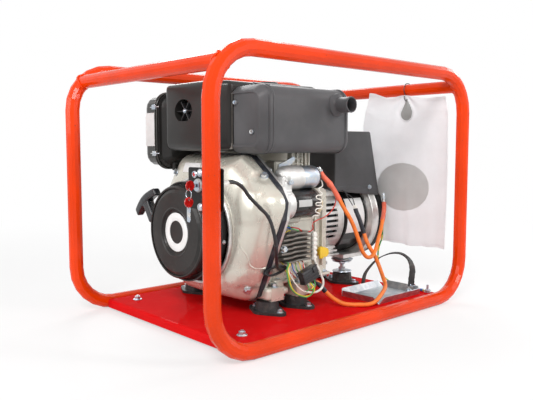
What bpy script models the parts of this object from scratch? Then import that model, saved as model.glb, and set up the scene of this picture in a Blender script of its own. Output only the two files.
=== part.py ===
"""Engine driven welder: an air-cooled engine and an alternator on rubber mounts in a tubular carry frame.

Units are metres and +Z is up. X runs along the shaft, from the recoil starter (-X) to the alternator (+X),
and the starter motor, muffler and cables are on the -Y side. Z is 0 at the floor under the frame.
"""

import math

import bmesh
import bpy
from mathutils import Vector

GAP = 0.0003  # between pieces that touch
SIDES = 24  # on bearings and other round fits

# Carry frame
FRAME_LENGTH = 0.850
FRAME_WIDTH = 0.572
FRAME_HEIGHT = 0.600
TUBE_R = 0.016
TUBE_WALL = 0.002
BEND_R = 0.096
TUBE_SIDES = 12
PLATE_TOP = 0.025
PLATE_THICK = 0.003
PLATE_LENGTH = 0.670
PLATE_FOLD = 0.020
RAIL_X = 0.283
RAIL_LEG = 0.028
RAIL_THICK = 0.003

# Rubber mounts
MOUNT_HEIGHT = 0.027
MOUNT_R = 0.0255
ENGINE_MOUNT_X = (-0.122, -0.030)
ENGINE_MOUNT_Y = (-0.100, 0.180)
ALTERNATOR_MOUNT_X = 0.250
ALTERNATOR_MOUNT_Y = (0.000, 0.118)
STUD_R = 0.005

# Shaft line and engine
SHAFT_Y = 0.045
SHAFT_Z = 0.208
CASE_X = (-0.1297, 0.090)
CASE_HALF_WIDTH = 0.140
CASE_BOTTOM = 0.078
CASE_TOP = 0.300
CASE_WALL = 0.009
JOURNAL_R = 0.020
CRANK_THROW = 0.035
ROD_LENGTH = 0.115
BORE_R = 0.043
CYLINDER_X = -0.030
CYLINDER_WIDTH = 0.130
CYLINDER_HEIGHT = 0.090
HEAD_HEIGHT = 0.055
COVER_HEIGHT = 0.032
BACK_PLATE_THICK = 0.008
SEAL_WIDTH = 0.014
HOUSING_DEPTH = 0.056
HOUSING_WALL = 0.003
HOUSING_MOUTH_R = 0.122
HOUSING_LIP = 0.006
FLYWHEEL_R = 0.128
FLYWHEEL_THICK = 0.032
FAN_R = 0.110
FAN_THICK = 0.014
FAN_BLADES = 12

# Recoil starter
RECOIL_R = 0.1025
RECOIL_DEPTH = 0.036
SKIRT_DEPTH = 0.0255
SKIRT_R = 0.113
RECOIL_WALL = 0.0025
ROPE_R = 0.086
PULL = (0.0, 0.563, 0.8265)  # direction in which the rope leaves
REEL_POST_R = 0.0075
GRIP_LENGTH = 0.106
BOSS_REACH = 0.077
GRIP_OFFSET = 0.137

# Air cleaner, muffler and tank
CLEANER_BOX = ((-0.235, -0.060, 0.396), (-0.108, 0.137, 0.550))
CLEANER_STEP = (-0.197, -0.020)  # x and y of the box's inner corner, clear of the muffler
CAN_CENTRE = (-0.147, 0.442)  # x and z
CAN_HALF = (0.080, 0.093)
CAN_CORNER_R = 0.036
CAN_NECK_LENGTH = 0.026
CAN_LENGTH = 0.058
CAN_CAP_LENGTH = 0.064
INTAKE_HOLE_R = 0.027
MUFFLER_X = (-0.172, 0.088)
MUFFLER_Y = (-0.160, -0.030)
MUFFLER_Z = (0.3885, 0.537)
MUFFLER_GUARD = 0.017
OUTLET_X = 0.043
OUTLET_Z = 0.499
OUTLET_R = 0.018
OUTLET_LENGTH = 0.045
TANK_X = (-0.104, 0.125)
TANK_Y = (-0.026, 0.158)
TANK_TOP = 0.556
CAP_R = 0.030

# Electric starter and small parts on the engine
STARTER_Y = -0.131
MOTOR_Z = 0.273
MOTOR_R = 0.034
SOLENOID_Z = 0.333
SOLENOID_R = 0.0255
NOSE_LENGTH = 0.060
MOTOR_LENGTH = 0.082
SOLENOID_LENGTH = 0.088
PINION_R = 0.020
DIPSTICK_X = 0.055
DIPSTICK_Z = 0.145
DIPSTICK_CAP_R = 0.0135
DIPSTICK_R = 0.004

# Alternator
BELL_LENGTH = 0.1095
BELL_R = 0.095
STATOR_LENGTH = 0.0860
STATOR_R = 0.100
ROTOR_R = 0.060
AIR_GAP = 0.004
REAR_BELL_LENGTH = 0.026
REAR_BELL_R = 0.122
REAR_COVER_LENGTH = 0.040
REAR_COVER_R = 0.118
ROTOR_SHAFT_R = 0.015
BEARING_R = 0.017
CONTROL_X = (0.145, 0.330)
CONTROL_Y = (-0.065, 0.155)
CONTROL_Z = (0.268, 0.443)

# Key panel on the near left post
PANEL_LENGTH = 0.105
PANEL_HEIGHT = 0.077
PANEL_MIDDLE_Z = 0.3265
PANEL_THICK = 0.002
SWITCH_Y = -0.210
SWITCH_Z = 0.332
LAMP_Y = -0.199
LAMP_Z = 0.352

# Battery tray and bag
TRAY_X = (0.112, 0.296)
TRAY_Y = (-0.240, -0.105)
TRAY_LIP = 0.017
TRAY_THICK = 0.002
STRAP_WIDTH = 0.018
STRAP_THICK = 0.003
BAG_THICK = 0.004

POST_X = FRAME_LENGTH / 2 - TUBE_R
LOOP_Y = FRAME_WIDTH / 2 - TUBE_R
MOUNT_TOP = PLATE_TOP + MOUNT_HEIGHT
CROSS_X = POST_X - BEND_R * (1 - math.sqrt(0.5))
CROSS_Z = FRAME_HEIGHT - TUBE_R - BEND_R * (1 - math.sqrt(0.5))
SHAFT = Vector((0, SHAFT_Y, SHAFT_Z))
CYLINDER_BASE = CASE_TOP + GAP
HEAD_BASE = CYLINDER_BASE + CYLINDER_HEIGHT + GAP
COVER_BASE = HEAD_BASE + HEAD_HEIGHT + GAP
BACK_PLATE_X = CASE_X[0] - GAP - BACK_PLATE_THICK
SEAL_X = BACK_PLATE_X - GAP - SEAL_WIDTH
HOUSING_X = SEAL_X - GAP
MOUTH_X = HOUSING_X - HOUSING_DEPTH
SKIRT_X = MOUTH_X - HOUSING_LIP - GAP
RECOIL_X = SKIRT_X - SKIRT_DEPTH - RECOIL_DEPTH
BELL_X = CASE_X[1] + GAP
STATOR_X = BELL_X + BELL_LENGTH + GAP
REAR_BELL_X = STATOR_X + STATOR_LENGTH + GAP
REAR_COVER_X = REAR_BELL_X + REAR_BELL_LENGTH + GAP
PANEL_X = -POST_X + TUBE_R + GAP

AXIS = {"X": Vector((1, 0, 0)), "Y": Vector((0, 1, 0)), "Z": Vector((0, 0, 1))}
ACROSS = {"X": ("Y", "Z"), "Y": ("X", "Z"), "Z": ("X", "Y")}


# Tools


def clear_scene():
    for obj in list(bpy.data.objects):
        bpy.data.objects.remove(obj, do_unlink=True)


def material(name, color, roughness, metallic=0.0):
    mat = bpy.data.materials.new(name)
    mat.use_nodes = True
    shader = mat.node_tree.nodes["Principled BSDF"]
    shader.inputs["Base Color"].default_value = (*color, 1)
    shader.inputs["Roughness"].default_value = roughness
    shader.inputs["Metallic"].default_value = metallic
    return mat


def node(name, bm, mat, pivot=(0, 0, 0)):
    """An object from world-space geometry, with its origin at the pivot."""
    bmesh.ops.recalc_face_normals(bm, faces=bm.faces)
    bmesh.ops.translate(bm, verts=bm.verts, vec=-Vector(pivot))
    mesh = bpy.data.meshes.new(name)
    bm.to_mesh(mesh)
    bm.free()
    obj = bpy.data.objects.new(name, mesh)
    obj.location = pivot
    bpy.context.scene.collection.objects.link(obj)
    dress(obj, mat)
    return obj


def dress(obj, mat):
    obj.data.materials.clear()
    obj.data.materials.append(mat)
    obj.data.shade_smooth()
    obj.data.set_sharp_from_angle(angle=math.radians(35))


def combine(target, operation, *shapes):
    """Apply a Boolean of each bmesh shape to the target object."""
    mat = target.data.materials[0]
    tools = [node("tool", shape, mat) for shape in shapes]
    for tool in tools:
        modifier = target.modifiers.new(operation, "BOOLEAN")
        modifier.operation = operation
        modifier.object = tool
    graph = bpy.context.evaluated_depsgraph_get()
    mesh = bpy.data.meshes.new_from_object(target.evaluated_get(graph))
    target.modifiers.clear()
    target.data = mesh
    dress(target, mat)
    for tool in tools:
        bpy.data.objects.remove(tool, do_unlink=True)


def cut(target, *shapes):
    combine(target, "DIFFERENCE", *shapes)


def weld(target, *shapes):
    combine(target, "UNION", *shapes)


def bore_radius(radius, sides=SIDES):
    """Corner radius of a polygonal bore whose flats clear a round of this radius by the gap."""
    return (radius + GAP) / math.cos(math.pi / sides)


# Shapes


def stacked(rings):
    """A closed body through equal rings of points, capped at both ends."""
    bm = bmesh.new()
    loops = [[bm.verts.new(point) for point in ring] for ring in rings]
    for low, high in zip(loops, loops[1:]):
        for i, corner in enumerate(low):
            following = (i + 1) % len(low)
            bm.faces.new((corner, low[following], high[following], high[i]))
    bm.faces.new(loops[0])
    bm.faces.new(loops[-1])
    return bm


def lofted(profiles):
    """A closed ring body through equal closed profiles."""
    bm = bmesh.new()
    loops = [[bm.verts.new(point) for point in profile] for profile in profiles]
    for loop, other in zip(loops, loops[1:] + loops[:1]):
        for i, corner in enumerate(loop):
            following = (i + 1) % len(loop)
            bm.faces.new((corner, loop[following], other[following], other[i]))
    return bm


def at(axis, along, u, v):
    """The point at a distance along an axis and u, v in the other two, in X, Y, Z order."""
    first, second = ACROSS[axis]
    return AXIS[axis] * along + AXIS[first] * u + AXIS[second] * v


def prism(outline, axis, low, high):
    return stacked([[at(axis, along, u, v) for u, v in outline] for along in (low, high)])


def box(low, high, bevel=0.0, segments=2):
    outline = [(low[0], low[1]), (high[0], low[1]), (high[0], high[1]), (low[0], high[1])]
    bm = prism(outline, "Z", low[2], high[2])
    if bevel:
        bmesh.ops.recalc_face_normals(bm, faces=bm.faces)
        bmesh.ops.bevel(bm, geom=bm.edges[:], offset=bevel, segments=segments, profile=0.5, affect="EDGES")
    return bm


def turned(profile, axis="X", centre=SHAFT, sides=SIDES):
    """A body turned from (along, radius) points. It is solid where the profile ends on the axis."""
    bm = bmesh.new()
    first = AXIS[ACROSS[axis][0]]
    verts = [bm.verts.new(centre + AXIS[axis] * along + first * radius) for along, radius in profile]
    edges = [bm.edges.new(pair) for pair in zip(verts, verts[1:])]
    if profile[0][1] > 0:
        edges.append(bm.edges.new((verts[-1], verts[0])))
    spin = {"cent": centre, "axis": AXIS[axis], "dvec": (0, 0, 0), "use_merge": True}
    bmesh.ops.spin(bm, geom=verts + edges, angle=math.tau, steps=sides, **spin)
    bmesh.ops.remove_doubles(bm, verts=bm.verts, dist=1e-6)
    return bm


def rod(axis, centre, low, high, radius, sides=SIDES):
    return turned([(low, 0), (low, radius), (high, radius), (high, 0)], axis, Vector(centre), sides)


def slanted_rod(start, end, radius, sides=12):
    """A round bar from one point to another."""
    start, end = Vector(start), Vector(end)
    along = (end - start).normalized()
    across = along.orthogonal().normalized()
    other = along.cross(across)
    ring = [
        (across * math.cos(math.tau * i / sides) + other * math.sin(math.tau * i / sides)) * radius
        for i in range(sides)
    ]
    return stacked([[start + spoke for spoke in ring], [end + spoke for spoke in ring]])


def rounded(corners, steps=3):
    """A polygon whose (u, v, radius) corners become arcs."""
    outline = []
    count = len(corners)
    for i, (u, v, radius) in enumerate(corners):
        corner = Vector((u, v))
        back = (Vector(corners[i - 1][:2]) - corner).normalized()
        ahead = (Vector(corners[(i + 1) % count][:2]) - corner).normalized()
        if radius == 0:
            outline.append((u, v))
            continue
        half = back.angle(ahead) / 2
        centre = corner + (back + ahead).normalized() * (radius / math.sin(half))
        start = corner + back * (radius / math.tan(half)) - centre
        end = corner + ahead * (radius / math.tan(half)) - centre
        sweep = start.angle_signed(end)
        for step in range(steps + 1):
            turn = -sweep * step / steps
            spoke = Vector((
                start.x * math.cos(turn) - start.y * math.sin(turn),
                start.x * math.sin(turn) + start.y * math.cos(turn),
            ))
            outline.append(tuple(centre + spoke))
    return outline


def rounded_box(u, v, radius, steps=3):
    """A rounded rectangle between the u and v limits."""
    corners = [(u[0], v[0]), (u[1], v[0]), (u[1], v[1]), (u[0], v[1])]
    return rounded([(*corner, radius) for corner in corners], steps)


def comb(low, high, fins, depth, root):
    """A block's side outline with fins on both sides: (u, v) limits, number, depth and fin thickness."""
    pitch = (high[1] - low[1] - root) / (fins - 1)
    side = []
    for i in range(fins):
        base = low[1] + pitch * i
        if i:
            side.append((depth, base))
        side += [(0, base), (0, base + root)]
        if i < fins - 1:
            side.append((depth, base + root))
    left = [(low[0] + inset, v) for inset, v in side]
    right = [(high[0] - inset, v) for inset, v in reversed(side)]
    return left + right


def smooth_route(points, spacing):
    """Evenly spaced points on a smooth curve through the given ones."""
    points = [Vector(point) for point in points]
    padded = [points[0] * 2 - points[1], *points, points[-1] * 2 - points[-2]]
    fine = []
    for a, b, c, d in zip(padded, padded[1:], padded[2:], padded[3:]):
        for step in range(12):
            t = step / 12
            fine.append(
                b + (c - a) * (t / 2) + (a - b * 2.5 + c * 2 - d / 2) * t**2 + (b * 1.5 - a / 2 - c * 1.5 + d / 2) * t**3
            )
    fine.append(points[-1])
    lengths = [0.0]
    for a, b in zip(fine, fine[1:]):
        lengths.append(lengths[-1] + (b - a).length)
    count = max(2, round(lengths[-1] / spacing))
    route = []
    for i in range(count + 1):
        target = lengths[-1] * i / count
        j = max(1, next(k for k, reach in enumerate(lengths) if reach >= target - 1e-9))
        share = (target - lengths[j - 1]) / (lengths[j] - lengths[j - 1])
        route.append(fine[j - 1].lerp(fine[j], share))
    return route


def cord(name, points, diameter, mat, resolution=2):
    """A plain tube along a route."""
    curve = bpy.data.curves.new(name, "CURVE")
    curve.dimensions = "3D"
    curve.bevel_depth = diameter / 2
    curve.bevel_resolution = resolution
    curve.use_fill_caps = True
    route = smooth_route(points, diameter * 2.5)
    spline = curve.splines.new("POLY")
    spline.points.add(len(route) - 1)
    for point, place in zip(spline.points, route):
        point.co = (*place, 1)
    obj = bpy.data.objects.new(name, curve)
    bpy.context.scene.collection.objects.link(obj)
    curve.materials.append(mat)
    return obj


# Frame


def loop_rings(radius, inset=0.0):
    """Rings of points round a side loop's centre-line, as lists for a loft."""
    corners = [
        (POST_X - BEND_R, FRAME_HEIGHT - TUBE_R - BEND_R, 0),
        (BEND_R - POST_X, FRAME_HEIGHT - TUBE_R - BEND_R, 90),
        (BEND_R - POST_X, TUBE_R + BEND_R, 180),
        (POST_X - BEND_R, TUBE_R + BEND_R, 270),
    ]
    steps = 6
    reach = (radius - inset) / math.cos(math.pi / TUBE_SIDES)
    rings = []
    for x, z, start in corners:
        for step in range(steps + 1):
            turn = math.radians(start + 90 * step / steps)
            outward = Vector((math.cos(turn), 0, math.sin(turn)))
            middle = Vector((x, 0, z)) + outward * BEND_R
            ring = []
            for side in range(TUBE_SIDES):
                angle = math.tau * (side + 0.5) / TUBE_SIDES
                ring.append(middle + (outward * math.cos(angle) + AXIS["Y"] * math.sin(angle)) * reach)
            rings.append(ring)
    return rings


def shifted(rings, y):
    return [[point + AXIS["Y"] * y for point in ring] for ring in rings]


def side_loop(name, y, mat):
    """One bent tube, hollow, with a weep hole on its inner side at the bottom."""
    loop = node(name, lofted(shifted(loop_rings(TUBE_R), y)), mat)
    hollow = lofted(shifted(loop_rings(TUBE_R, TUBE_WALL), y))
    inward = math.copysign(1, -y)
    start = Vector((POST_X - BEND_R - 0.03, y, TUBE_R))
    hole = slanted_rod(start, start + AXIS["Y"] * inward * 2 * TUBE_R, 0.003, 8)
    cut(loop, hollow)
    cut(loop, hole)
    return loop


def cross_bar(name, x, mat):
    """A tube between the loops' top bends, with coped ends."""
    inner = TUBE_R - TUBE_WALL
    profile = [(-LOOP_Y, inner), (-LOOP_Y, TUBE_R), (LOOP_Y, TUBE_R), (LOOP_Y, inner)]
    bar = node(name, turned(profile, "Y", Vector((x, 0, CROSS_Z)), 16), mat)
    cut(bar, *[lofted(shifted(loop_rings(TUBE_R + GAP), y)) for y in (-LOOP_Y, LOOP_Y)])
    return bar


def cross_rail(name, side, mat):
    """An angle under the plate, between the loops."""
    top = PLATE_TOP - PLATE_THICK - GAP
    x = side * RAIL_X
    inner = x - side * RAIL_LEG
    outline = [
        (x, top),
        (inner, top),
        (inner, top - RAIL_THICK),
        (x - side * RAIL_THICK, top - RAIL_THICK),
        (x - side * RAIL_THICK, PLATE_TOP - PLATE_FOLD),
        (x, PLATE_TOP - PLATE_FOLD),
    ]
    reach = LOOP_Y - TUBE_R - GAP
    return node(name, prism(outline, "Y", -reach, reach), mat)


def base_plate(mat):
    """A sheet between the loops with both ends folded down."""
    half, low = PLATE_LENGTH / 2, PLATE_TOP - PLATE_FOLD
    radius = 2 * PLATE_THICK
    outer = rounded([(-half, low, 0), (-half, PLATE_TOP, radius), (half, PLATE_TOP, radius), (half, low, 0)])
    under, end = PLATE_TOP - PLATE_THICK, half - PLATE_THICK
    inner = rounded([(end, low, 0), (end, under, PLATE_THICK), (-end, under, PLATE_THICK), (-end, low, 0)])
    reach = LOOP_Y - TUBE_R - GAP
    return node("base_plate", prism(outer + inner, "Y", -reach, reach), mat)


# Plate fittings


def mount(name, x, y, mat, stud_top=None):
    """A rubber cone on an oval two-bolt flange, with its metal top."""
    centre = Vector((x, y, PLATE_TOP + GAP))
    flange = rounded([(x - 0.040, y, 0.026), (x, y - 0.072, 0.014), (x + 0.040, y, 0.026), (x, y + 0.072, 0.014)], 4)
    body = node(name, prism(flange, "Z", centre.z, centre.z + 0.006), mat)
    top = MOUNT_HEIGHT - GAP
    profile = [(0.002, 0), (0.002, 0.0285), (0.010, 0.0275), (top, MOUNT_R), (top, 0)]
    if stud_top:
        nut, cup = 1.8 * STUD_R, MOUNT_R - 0.004
        rise = stud_top - centre.z
        tail = [(top, nut), (top + 0.007, nut), (top + 0.007, STUD_R), (rise - 0.012, STUD_R)]
        tail += [(rise - 0.012, 0.010), (rise - 0.008, cup), (rise, cup), (rise, 0)]
        profile = profile[:-1] + tail
    weld(body, turned(profile, "Z", centre, 16))
    return body


def battery_tray(mat):
    """A folded sheet tray: an open frame floor with four lips and notched corners."""
    low = PLATE_TOP + GAP
    tray = node("battery_tray", box((TRAY_X[0], TRAY_Y[0], low), (TRAY_X[1], TRAY_Y[1], low + TRAY_LIP)), mat)
    t, rim, notch = TRAY_THICK, 0.026, 0.018
    inside = box(
        (TRAY_X[0] + t, TRAY_Y[0] + t, low + t), (TRAY_X[1] - t, TRAY_Y[1] - t, low + 2 * TRAY_LIP)
    )
    window = box(
        (TRAY_X[0] + rim, TRAY_Y[0] + rim, low - t), (TRAY_X[1] - rim, TRAY_Y[1] - rim, low + 3 * t)
    )
    notches = [
        box((x - notch, y - notch, low + 2 * t), (x + notch, y + notch, low + 2 * TRAY_LIP))
        for x in TRAY_X for y in TRAY_Y
    ]
    cut(tray, inside, window, *notches)
    return tray


STRAP_ROUTE = [
    (0.228, -0.0937, PLATE_TOP + GAP), (0.230, -0.094, 0.045), (0.2364, -0.095, 0.0654), (0.2565, -0.101, 0.0878),
    (0.2659, -0.118, 0.1064), (0.2796, -0.145, 0.1204), (0.2950, -0.167, 0.1205), (0.2910, -0.195, 0.1090),
    (0.2905, -0.206, 0.0860), (0.2845, -0.208, 0.0600), (0.2840, -0.208, 0.0400),
]


def battery_strap(mat):
    """A flat rubber strap that stands in an arch between the tray's far and right-hand lips."""
    route = smooth_route(STRAP_ROUTE, 0.014)
    span = Vector(STRAP_ROUTE[-1]) - Vector(STRAP_ROUTE[0])
    across = Vector((span.y, -span.x, 0)).normalized() * STRAP_WIDTH / 2
    rings = []
    for i, middle in enumerate(route):
        along = route[min(i + 1, len(route) - 1)] - route[max(i - 1, 0)]
        out = across.cross(along).normalized() * STRAP_THICK / 2
        rings.append([middle + across + out, middle - across + out, middle - across - out, middle + across - out])
    rings[0] = [Vector((*corner.xy, PLATE_TOP + GAP)) for corner in rings[0]]
    return node("battery_strap", stacked(rings), mat)


def earth_stud(mat):
    """A stud with its nut, standing on the plate."""
    centre = Vector((0.3165, -0.236, PLATE_TOP + GAP))
    profile = [(0, 0), (0, 0.009), (0.002, 0.009), (0.002, 0.0065), (0.008, 0.0065), (0.008, 0.003), (0.020, 0.003), (0.020, 0)]
    return node("earth_stud", turned(profile, "Z", centre, 12), mat)


# Engine


def crankcase(mat):
    """Hollow case with feet, shaft bores, an open top for the cylinder and pads for what bolts on."""
    near, far = SHAFT_Y - CASE_HALF_WIDTH, SHAFT_Y + CASE_HALF_WIDTH * 0.86
    case = node(
        "crankcase", box((CASE_X[0], near, CASE_BOTTOM), (CASE_X[1], far, CASE_TOP), 0.010, 1), mat
    )
    feet = [
        box((x - 0.019, ENGINE_MOUNT_Y[0] - 0.022, MOUNT_TOP + GAP), (x + 0.019, ENGINE_MOUNT_Y[1] + 0.022, CASE_BOTTOM + 0.004))
        for x in (ENGINE_MOUNT_X[0] + 0.012, ENGINE_MOUNT_X[1])
    ]
    pad = box((-0.090, REGULATOR_BACK + GAP, 0.150), (-0.035, near + 0.002, 0.190))
    pivot = box((-0.085, -0.085, CASE_TOP - 0.002), (-0.045, -0.045, CASE_TOP + 0.006))
    weld(case, *feet, pad, pivot)
    wall = CASE_WALL
    inside = box(
        (CASE_X[0] + wall, near + wall, CASE_BOTTOM + wall), (CASE_X[1] - wall, far - wall, CASE_TOP - wall)
    )
    spigot = rod("Z", (CYLINDER_X, SHAFT_Y, 0), CASE_TOP - 2 * wall, CASE_TOP + wall, BORE_R)
    shaft = rod("X", SHAFT, CASE_X[0] - wall, CASE_X[1] + wall, bore_radius(JOURNAL_R))
    stick = rod("Y", (DIPSTICK_X, 0, DIPSTICK_Z), near - wall, near + 2 * wall, bore_radius(DIPSTICK_R, 12), 12)
    cut(case, inside, spigot, shaft, stick)
    return case


def crankshaft(mat):
    """Two journals, two webs and the crank pin, in one piece, with the pin at the top."""
    middle = CYLINDER_X
    shaft = node("crankshaft", rod("X", SHAFT, MOUTH_X + 0.012, middle - 0.022, JOURNAL_R), mat, SHAFT)
    far = rod("X", SHAFT, middle + 0.022, STATOR_X - BELL_LENGTH / 2, JOURNAL_R)
    pin = rod("X", SHAFT + AXIS["Z"] * CRANK_THROW, middle - 0.016, middle + 0.016, 0.019, 16)
    webs = []
    for side in (-1, 1):
        web = rounded_box((SHAFT_Y - 0.034, SHAFT_Y + 0.034), (SHAFT_Z - 0.058, SHAFT_Z + 0.056), 0.025)
        reach = sorted((middle + side * 0.014, middle + side * 0.026))
        webs.append(prism(web, "X", *reach))
    weld(shaft, webs[0])
    weld(shaft, pin)
    weld(shaft, webs[1])
    weld(shaft, far)
    return shaft


def piston(mat):
    """A cup in the bore at the top of its stroke."""
    low = SHAFT_Z + CRANK_THROW + ROD_LENGTH - 0.028
    high = HEAD_BASE - 2 * GAP - 0.0005
    r = BORE_R - GAP
    profile = [(high, 0), (high, r), (low, r), (low, r - 0.005), (high - 0.010, r - 0.005), (high - 0.010, 0)]
    return node("piston", turned(profile, "Z", Vector((CYLINDER_X, SHAFT_Y, 0))), mat)


def cylinder(mat):
    """A finned barrel round the bore."""
    low = (CYLINDER_X - CYLINDER_WIDTH / 2, CYLINDER_BASE)
    high = (CYLINDER_X + CYLINDER_WIDTH / 2, CYLINDER_BASE + CYLINDER_HEIGHT)
    outline = comb(low, high, 8, 0.014, 0.004)
    reach = CYLINDER_WIDTH / 2
    barrel = node("cylinder", prism(outline, "Y", SHAFT_Y - reach, SHAFT_Y + reach), mat)
    cut(barrel, rod("Z", (CYLINDER_X, SHAFT_Y, 0), low[1] - 0.01, high[1] + 0.01, BORE_R))
    return barrel


def cylinder_head(mat):
    """A finned head with an exhaust stub to the muffler and an intake stub to the air cleaner."""
    low = (CYLINDER_X - CYLINDER_WIDTH / 2, HEAD_BASE)
    high = (CYLINDER_X + CYLINDER_WIDTH / 2, HEAD_BASE + HEAD_HEIGHT)
    reach = CYLINDER_WIDTH / 2
    head = node(
        "cylinder_head", prism(comb(low, high, 5, 0.010, 0.005), "Y", SHAFT_Y - reach, SHAFT_Y + reach), mat
    )
    port = low[1] + HEAD_HEIGHT / 2
    exhaust = rod("Y", (CYLINDER_X, 0, port), MUFFLER_Y[1] + GAP, SHAFT_Y - reach + 0.02, 0.020, 16)
    intake = rod("X", (0, SHAFT_Y, port), CLEANER_BOX[1][0] + GAP, low[0] + 0.02, 0.020, 16)
    weld(head, exhaust, intake)
    return head


def rocker_cover(mat):
    """A cast cap, open underneath."""
    reach, x = CYLINDER_WIDTH / 2 - 0.008, CYLINDER_X
    top = COVER_BASE + COVER_HEIGHT
    cover = node(
        "rocker_cover",
        box((x - reach, SHAFT_Y - reach, COVER_BASE), (x + reach, SHAFT_Y + reach, top), 0.006, 2),
        mat,
    )
    wall = 0.004
    cut(cover, box(
        (x - reach + wall + 0.003, SHAFT_Y - reach + wall + 0.003, COVER_BASE - wall),
        (x + reach - wall - 0.003, SHAFT_Y + reach - wall - 0.003, top - wall),
    ))
    return cover


def housing_outline():
    """The fan housing's rear edge, seen along X: wide shoulders and a narrow foot."""
    corners = [
        (-0.075, 0.3850, 0.020),
        (-0.198, 0.288, 0.055),
        (-0.092, 0.052, 0.020),
        (0.145, 0.052, 0.020),
        (0.218, 0.288, 0.055),
        (0.150, 0.3850, 0.020),
    ]
    return rounded(corners, 6)


def reach_of(outline, angle):
    """Distance from the shaft line to the outline, in a direction in the YZ plane."""
    dy, dz = math.cos(angle), math.sin(angle)
    reach = 0.0
    for (ay, az), (by, bz) in zip(outline, outline[1:] + outline[:1]):
        ey, ez = by - ay, bz - az
        cross = dy * ez - dz * ey
        if abs(cross) < 1e-12:
            continue
        oy, oz = ay - SHAFT_Y, az - SHAFT_Z
        along = (oy * ez - oz * ey) / cross
        share = (oy * dz - oz * dy) / cross
        if along > 0 and -1e-9 <= share <= 1 + 1e-9:
            reach = max(reach, along)
    return reach


def housing_reaches(count=40):
    outline = housing_outline()
    return [(math.tau * i / count, reach_of(outline, math.tau * i / count)) for i in range(count)]


def round_ring(profiles_of):
    """A ring body round the shaft line from a function that gives (along, radius) points for a reach."""
    profiles = []
    for angle, reach in housing_reaches():
        spoke = Vector((0, math.cos(angle), math.sin(angle)))
        profiles.append([SHAFT + AXIS["X"] * x + spoke * r for x, r in profiles_of(reach)])
    return lofted(profiles)


def fan_housing(mat):
    """A bulging shell from the round mouth to the wide rear edge."""

    def wall_line(reach, inset, steps):
        mouth = HOUSING_MOUTH_R - inset
        line = []
        for step in range(steps + 1):
            share = step / steps
            bulge = 1 - math.sqrt(max(0.0, 1 - share**2))
            line.append((MOUTH_X + inset + (HOUSING_DEPTH - inset) * bulge, mouth + (reach - inset - mouth) * share))
        return line

    def profile(reach):
        outer = wall_line(reach, 0.0, 6)
        inner = wall_line(reach, HOUSING_WALL, 6)
        lip = [(MOUTH_X - HOUSING_LIP, HOUSING_MOUTH_R - HOUSING_WALL), (MOUTH_X - HOUSING_LIP, HOUSING_MOUTH_R)]
        return lip + outer + inner[::-1]

    return node("fan_housing", round_ring(profile), mat)


def housing_seal(mat):
    """A rubber strip between the housing and the back plate."""

    def profile(reach):
        low, high = SEAL_X, SEAL_X + SEAL_WIDTH
        return [(low, reach - 0.008), (low, reach + 0.0025), (high, reach + 0.0025), (high, reach - 0.008)]

    return node("housing_seal", round_ring(profile), mat)


def back_plate(mat):
    """A cast flange in the housing's outline, open round the shaft and the starter pinion."""

    def profile(reach):
        low, high = BACK_PLATE_X, BACK_PLATE_X + BACK_PLATE_THICK
        return [(low, 0.060), (low, reach + 0.0015), (high, reach + 0.0015), (high, 0.060)]

    plate = node("back_plate", round_ring(profile), mat)
    pinion = rod("X", (0, STARTER_Y, MOTOR_Z), BACK_PLATE_X - 0.01, CASE_X[0] + 0.01, PINION_R + 0.002)
    below = box((BACK_PLATE_X - 0.01, -0.3, 0), (CASE_X[0] + 0.01, 0.3, MOUNT_TOP + 0.002))
    cut(plate, pinion, below)
    return plate


def flywheel(mat):
    """A heavy rim with a ring gear's land, a web and a hub, with the fan's blunt blades cast on its front."""
    back = BACK_PLATE_X - 0.003
    front = back - FLYWHEEL_THICK
    hub = JOURNAL_R + GAP
    profile = [
        (back, hub), (back, 0.038), (back - 0.008, 0.038), (back - 0.008, 0.100),
        (back, 0.100), (back, FLYWHEEL_R - 0.008), (back - 0.004, FLYWHEEL_R - 0.008),
        (back - 0.004, FLYWHEEL_R), (back - 0.014, FLYWHEEL_R), (back - 0.014, FLYWHEEL_R - 0.008),
        (front, FLYWHEEL_R - 0.016), (front, hub),
    ]
    wheel = node("flywheel", turned(profile), mat, SHAFT)
    outline = []
    for i in range(FAN_BLADES):
        for offset, radius in ((-0.05, 0.075), (-0.03, FAN_R), (0.03, FAN_R), (0.05, 0.075)):
            angle = math.tau * i / FAN_BLADES + offset
            outline.append((SHAFT_Y + radius * math.cos(angle), SHAFT_Z + radius * math.sin(angle)))
    weld(wheel, prism(outline, "X", front - FAN_THICK, front + 0.002))
    cut(wheel, rod("X", SHAFT, front - 2 * FAN_THICK, front + FAN_THICK, hub))
    return wheel


# Recoil starter


def recoil_cover(mat):
    """A cup over the rope reel, with a recessed middle, a wide skirt and a post for the reel."""
    face, shoulder, rear = RECOIL_X, RECOIL_X + RECOIL_DEPTH, SKIRT_X
    wall, r = RECOIL_WALL, RECOIL_R
    outer = [
        (face + 0.006, 0), (face + 0.006, 0.050), (face + 0.001, 0.054), (face, 0.058), (face, r - 0.012),
        (face + 0.004, r - 0.003), (face + 0.011, r), (shoulder, r), (shoulder + 0.004, SKIRT_R), (rear, SKIRT_R),
    ]
    inner = [
        (rear, SKIRT_R - wall), (shoulder + 0.006, SKIRT_R - wall), (shoulder + 0.004, r - wall),
        (face + 0.011, r - wall), (face + 0.006, r - 0.006), (face + 0.009, 0.056), (face + 0.009, REEL_POST_R),
        (shoulder, REEL_POST_R), (shoulder, 0),
    ]
    cover = node("recoil_cover", turned(outer + inner, sides=40), mat)
    exit_point = rope_point(0.048)
    boss = slanted_rod(exit_point, rope_point(BOSS_REACH), 0.011)
    weld(cover, boss)
    cut(cover, slanted_rod(rope_point(0.030), rope_point(0.100), 0.0045))
    return cover


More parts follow.
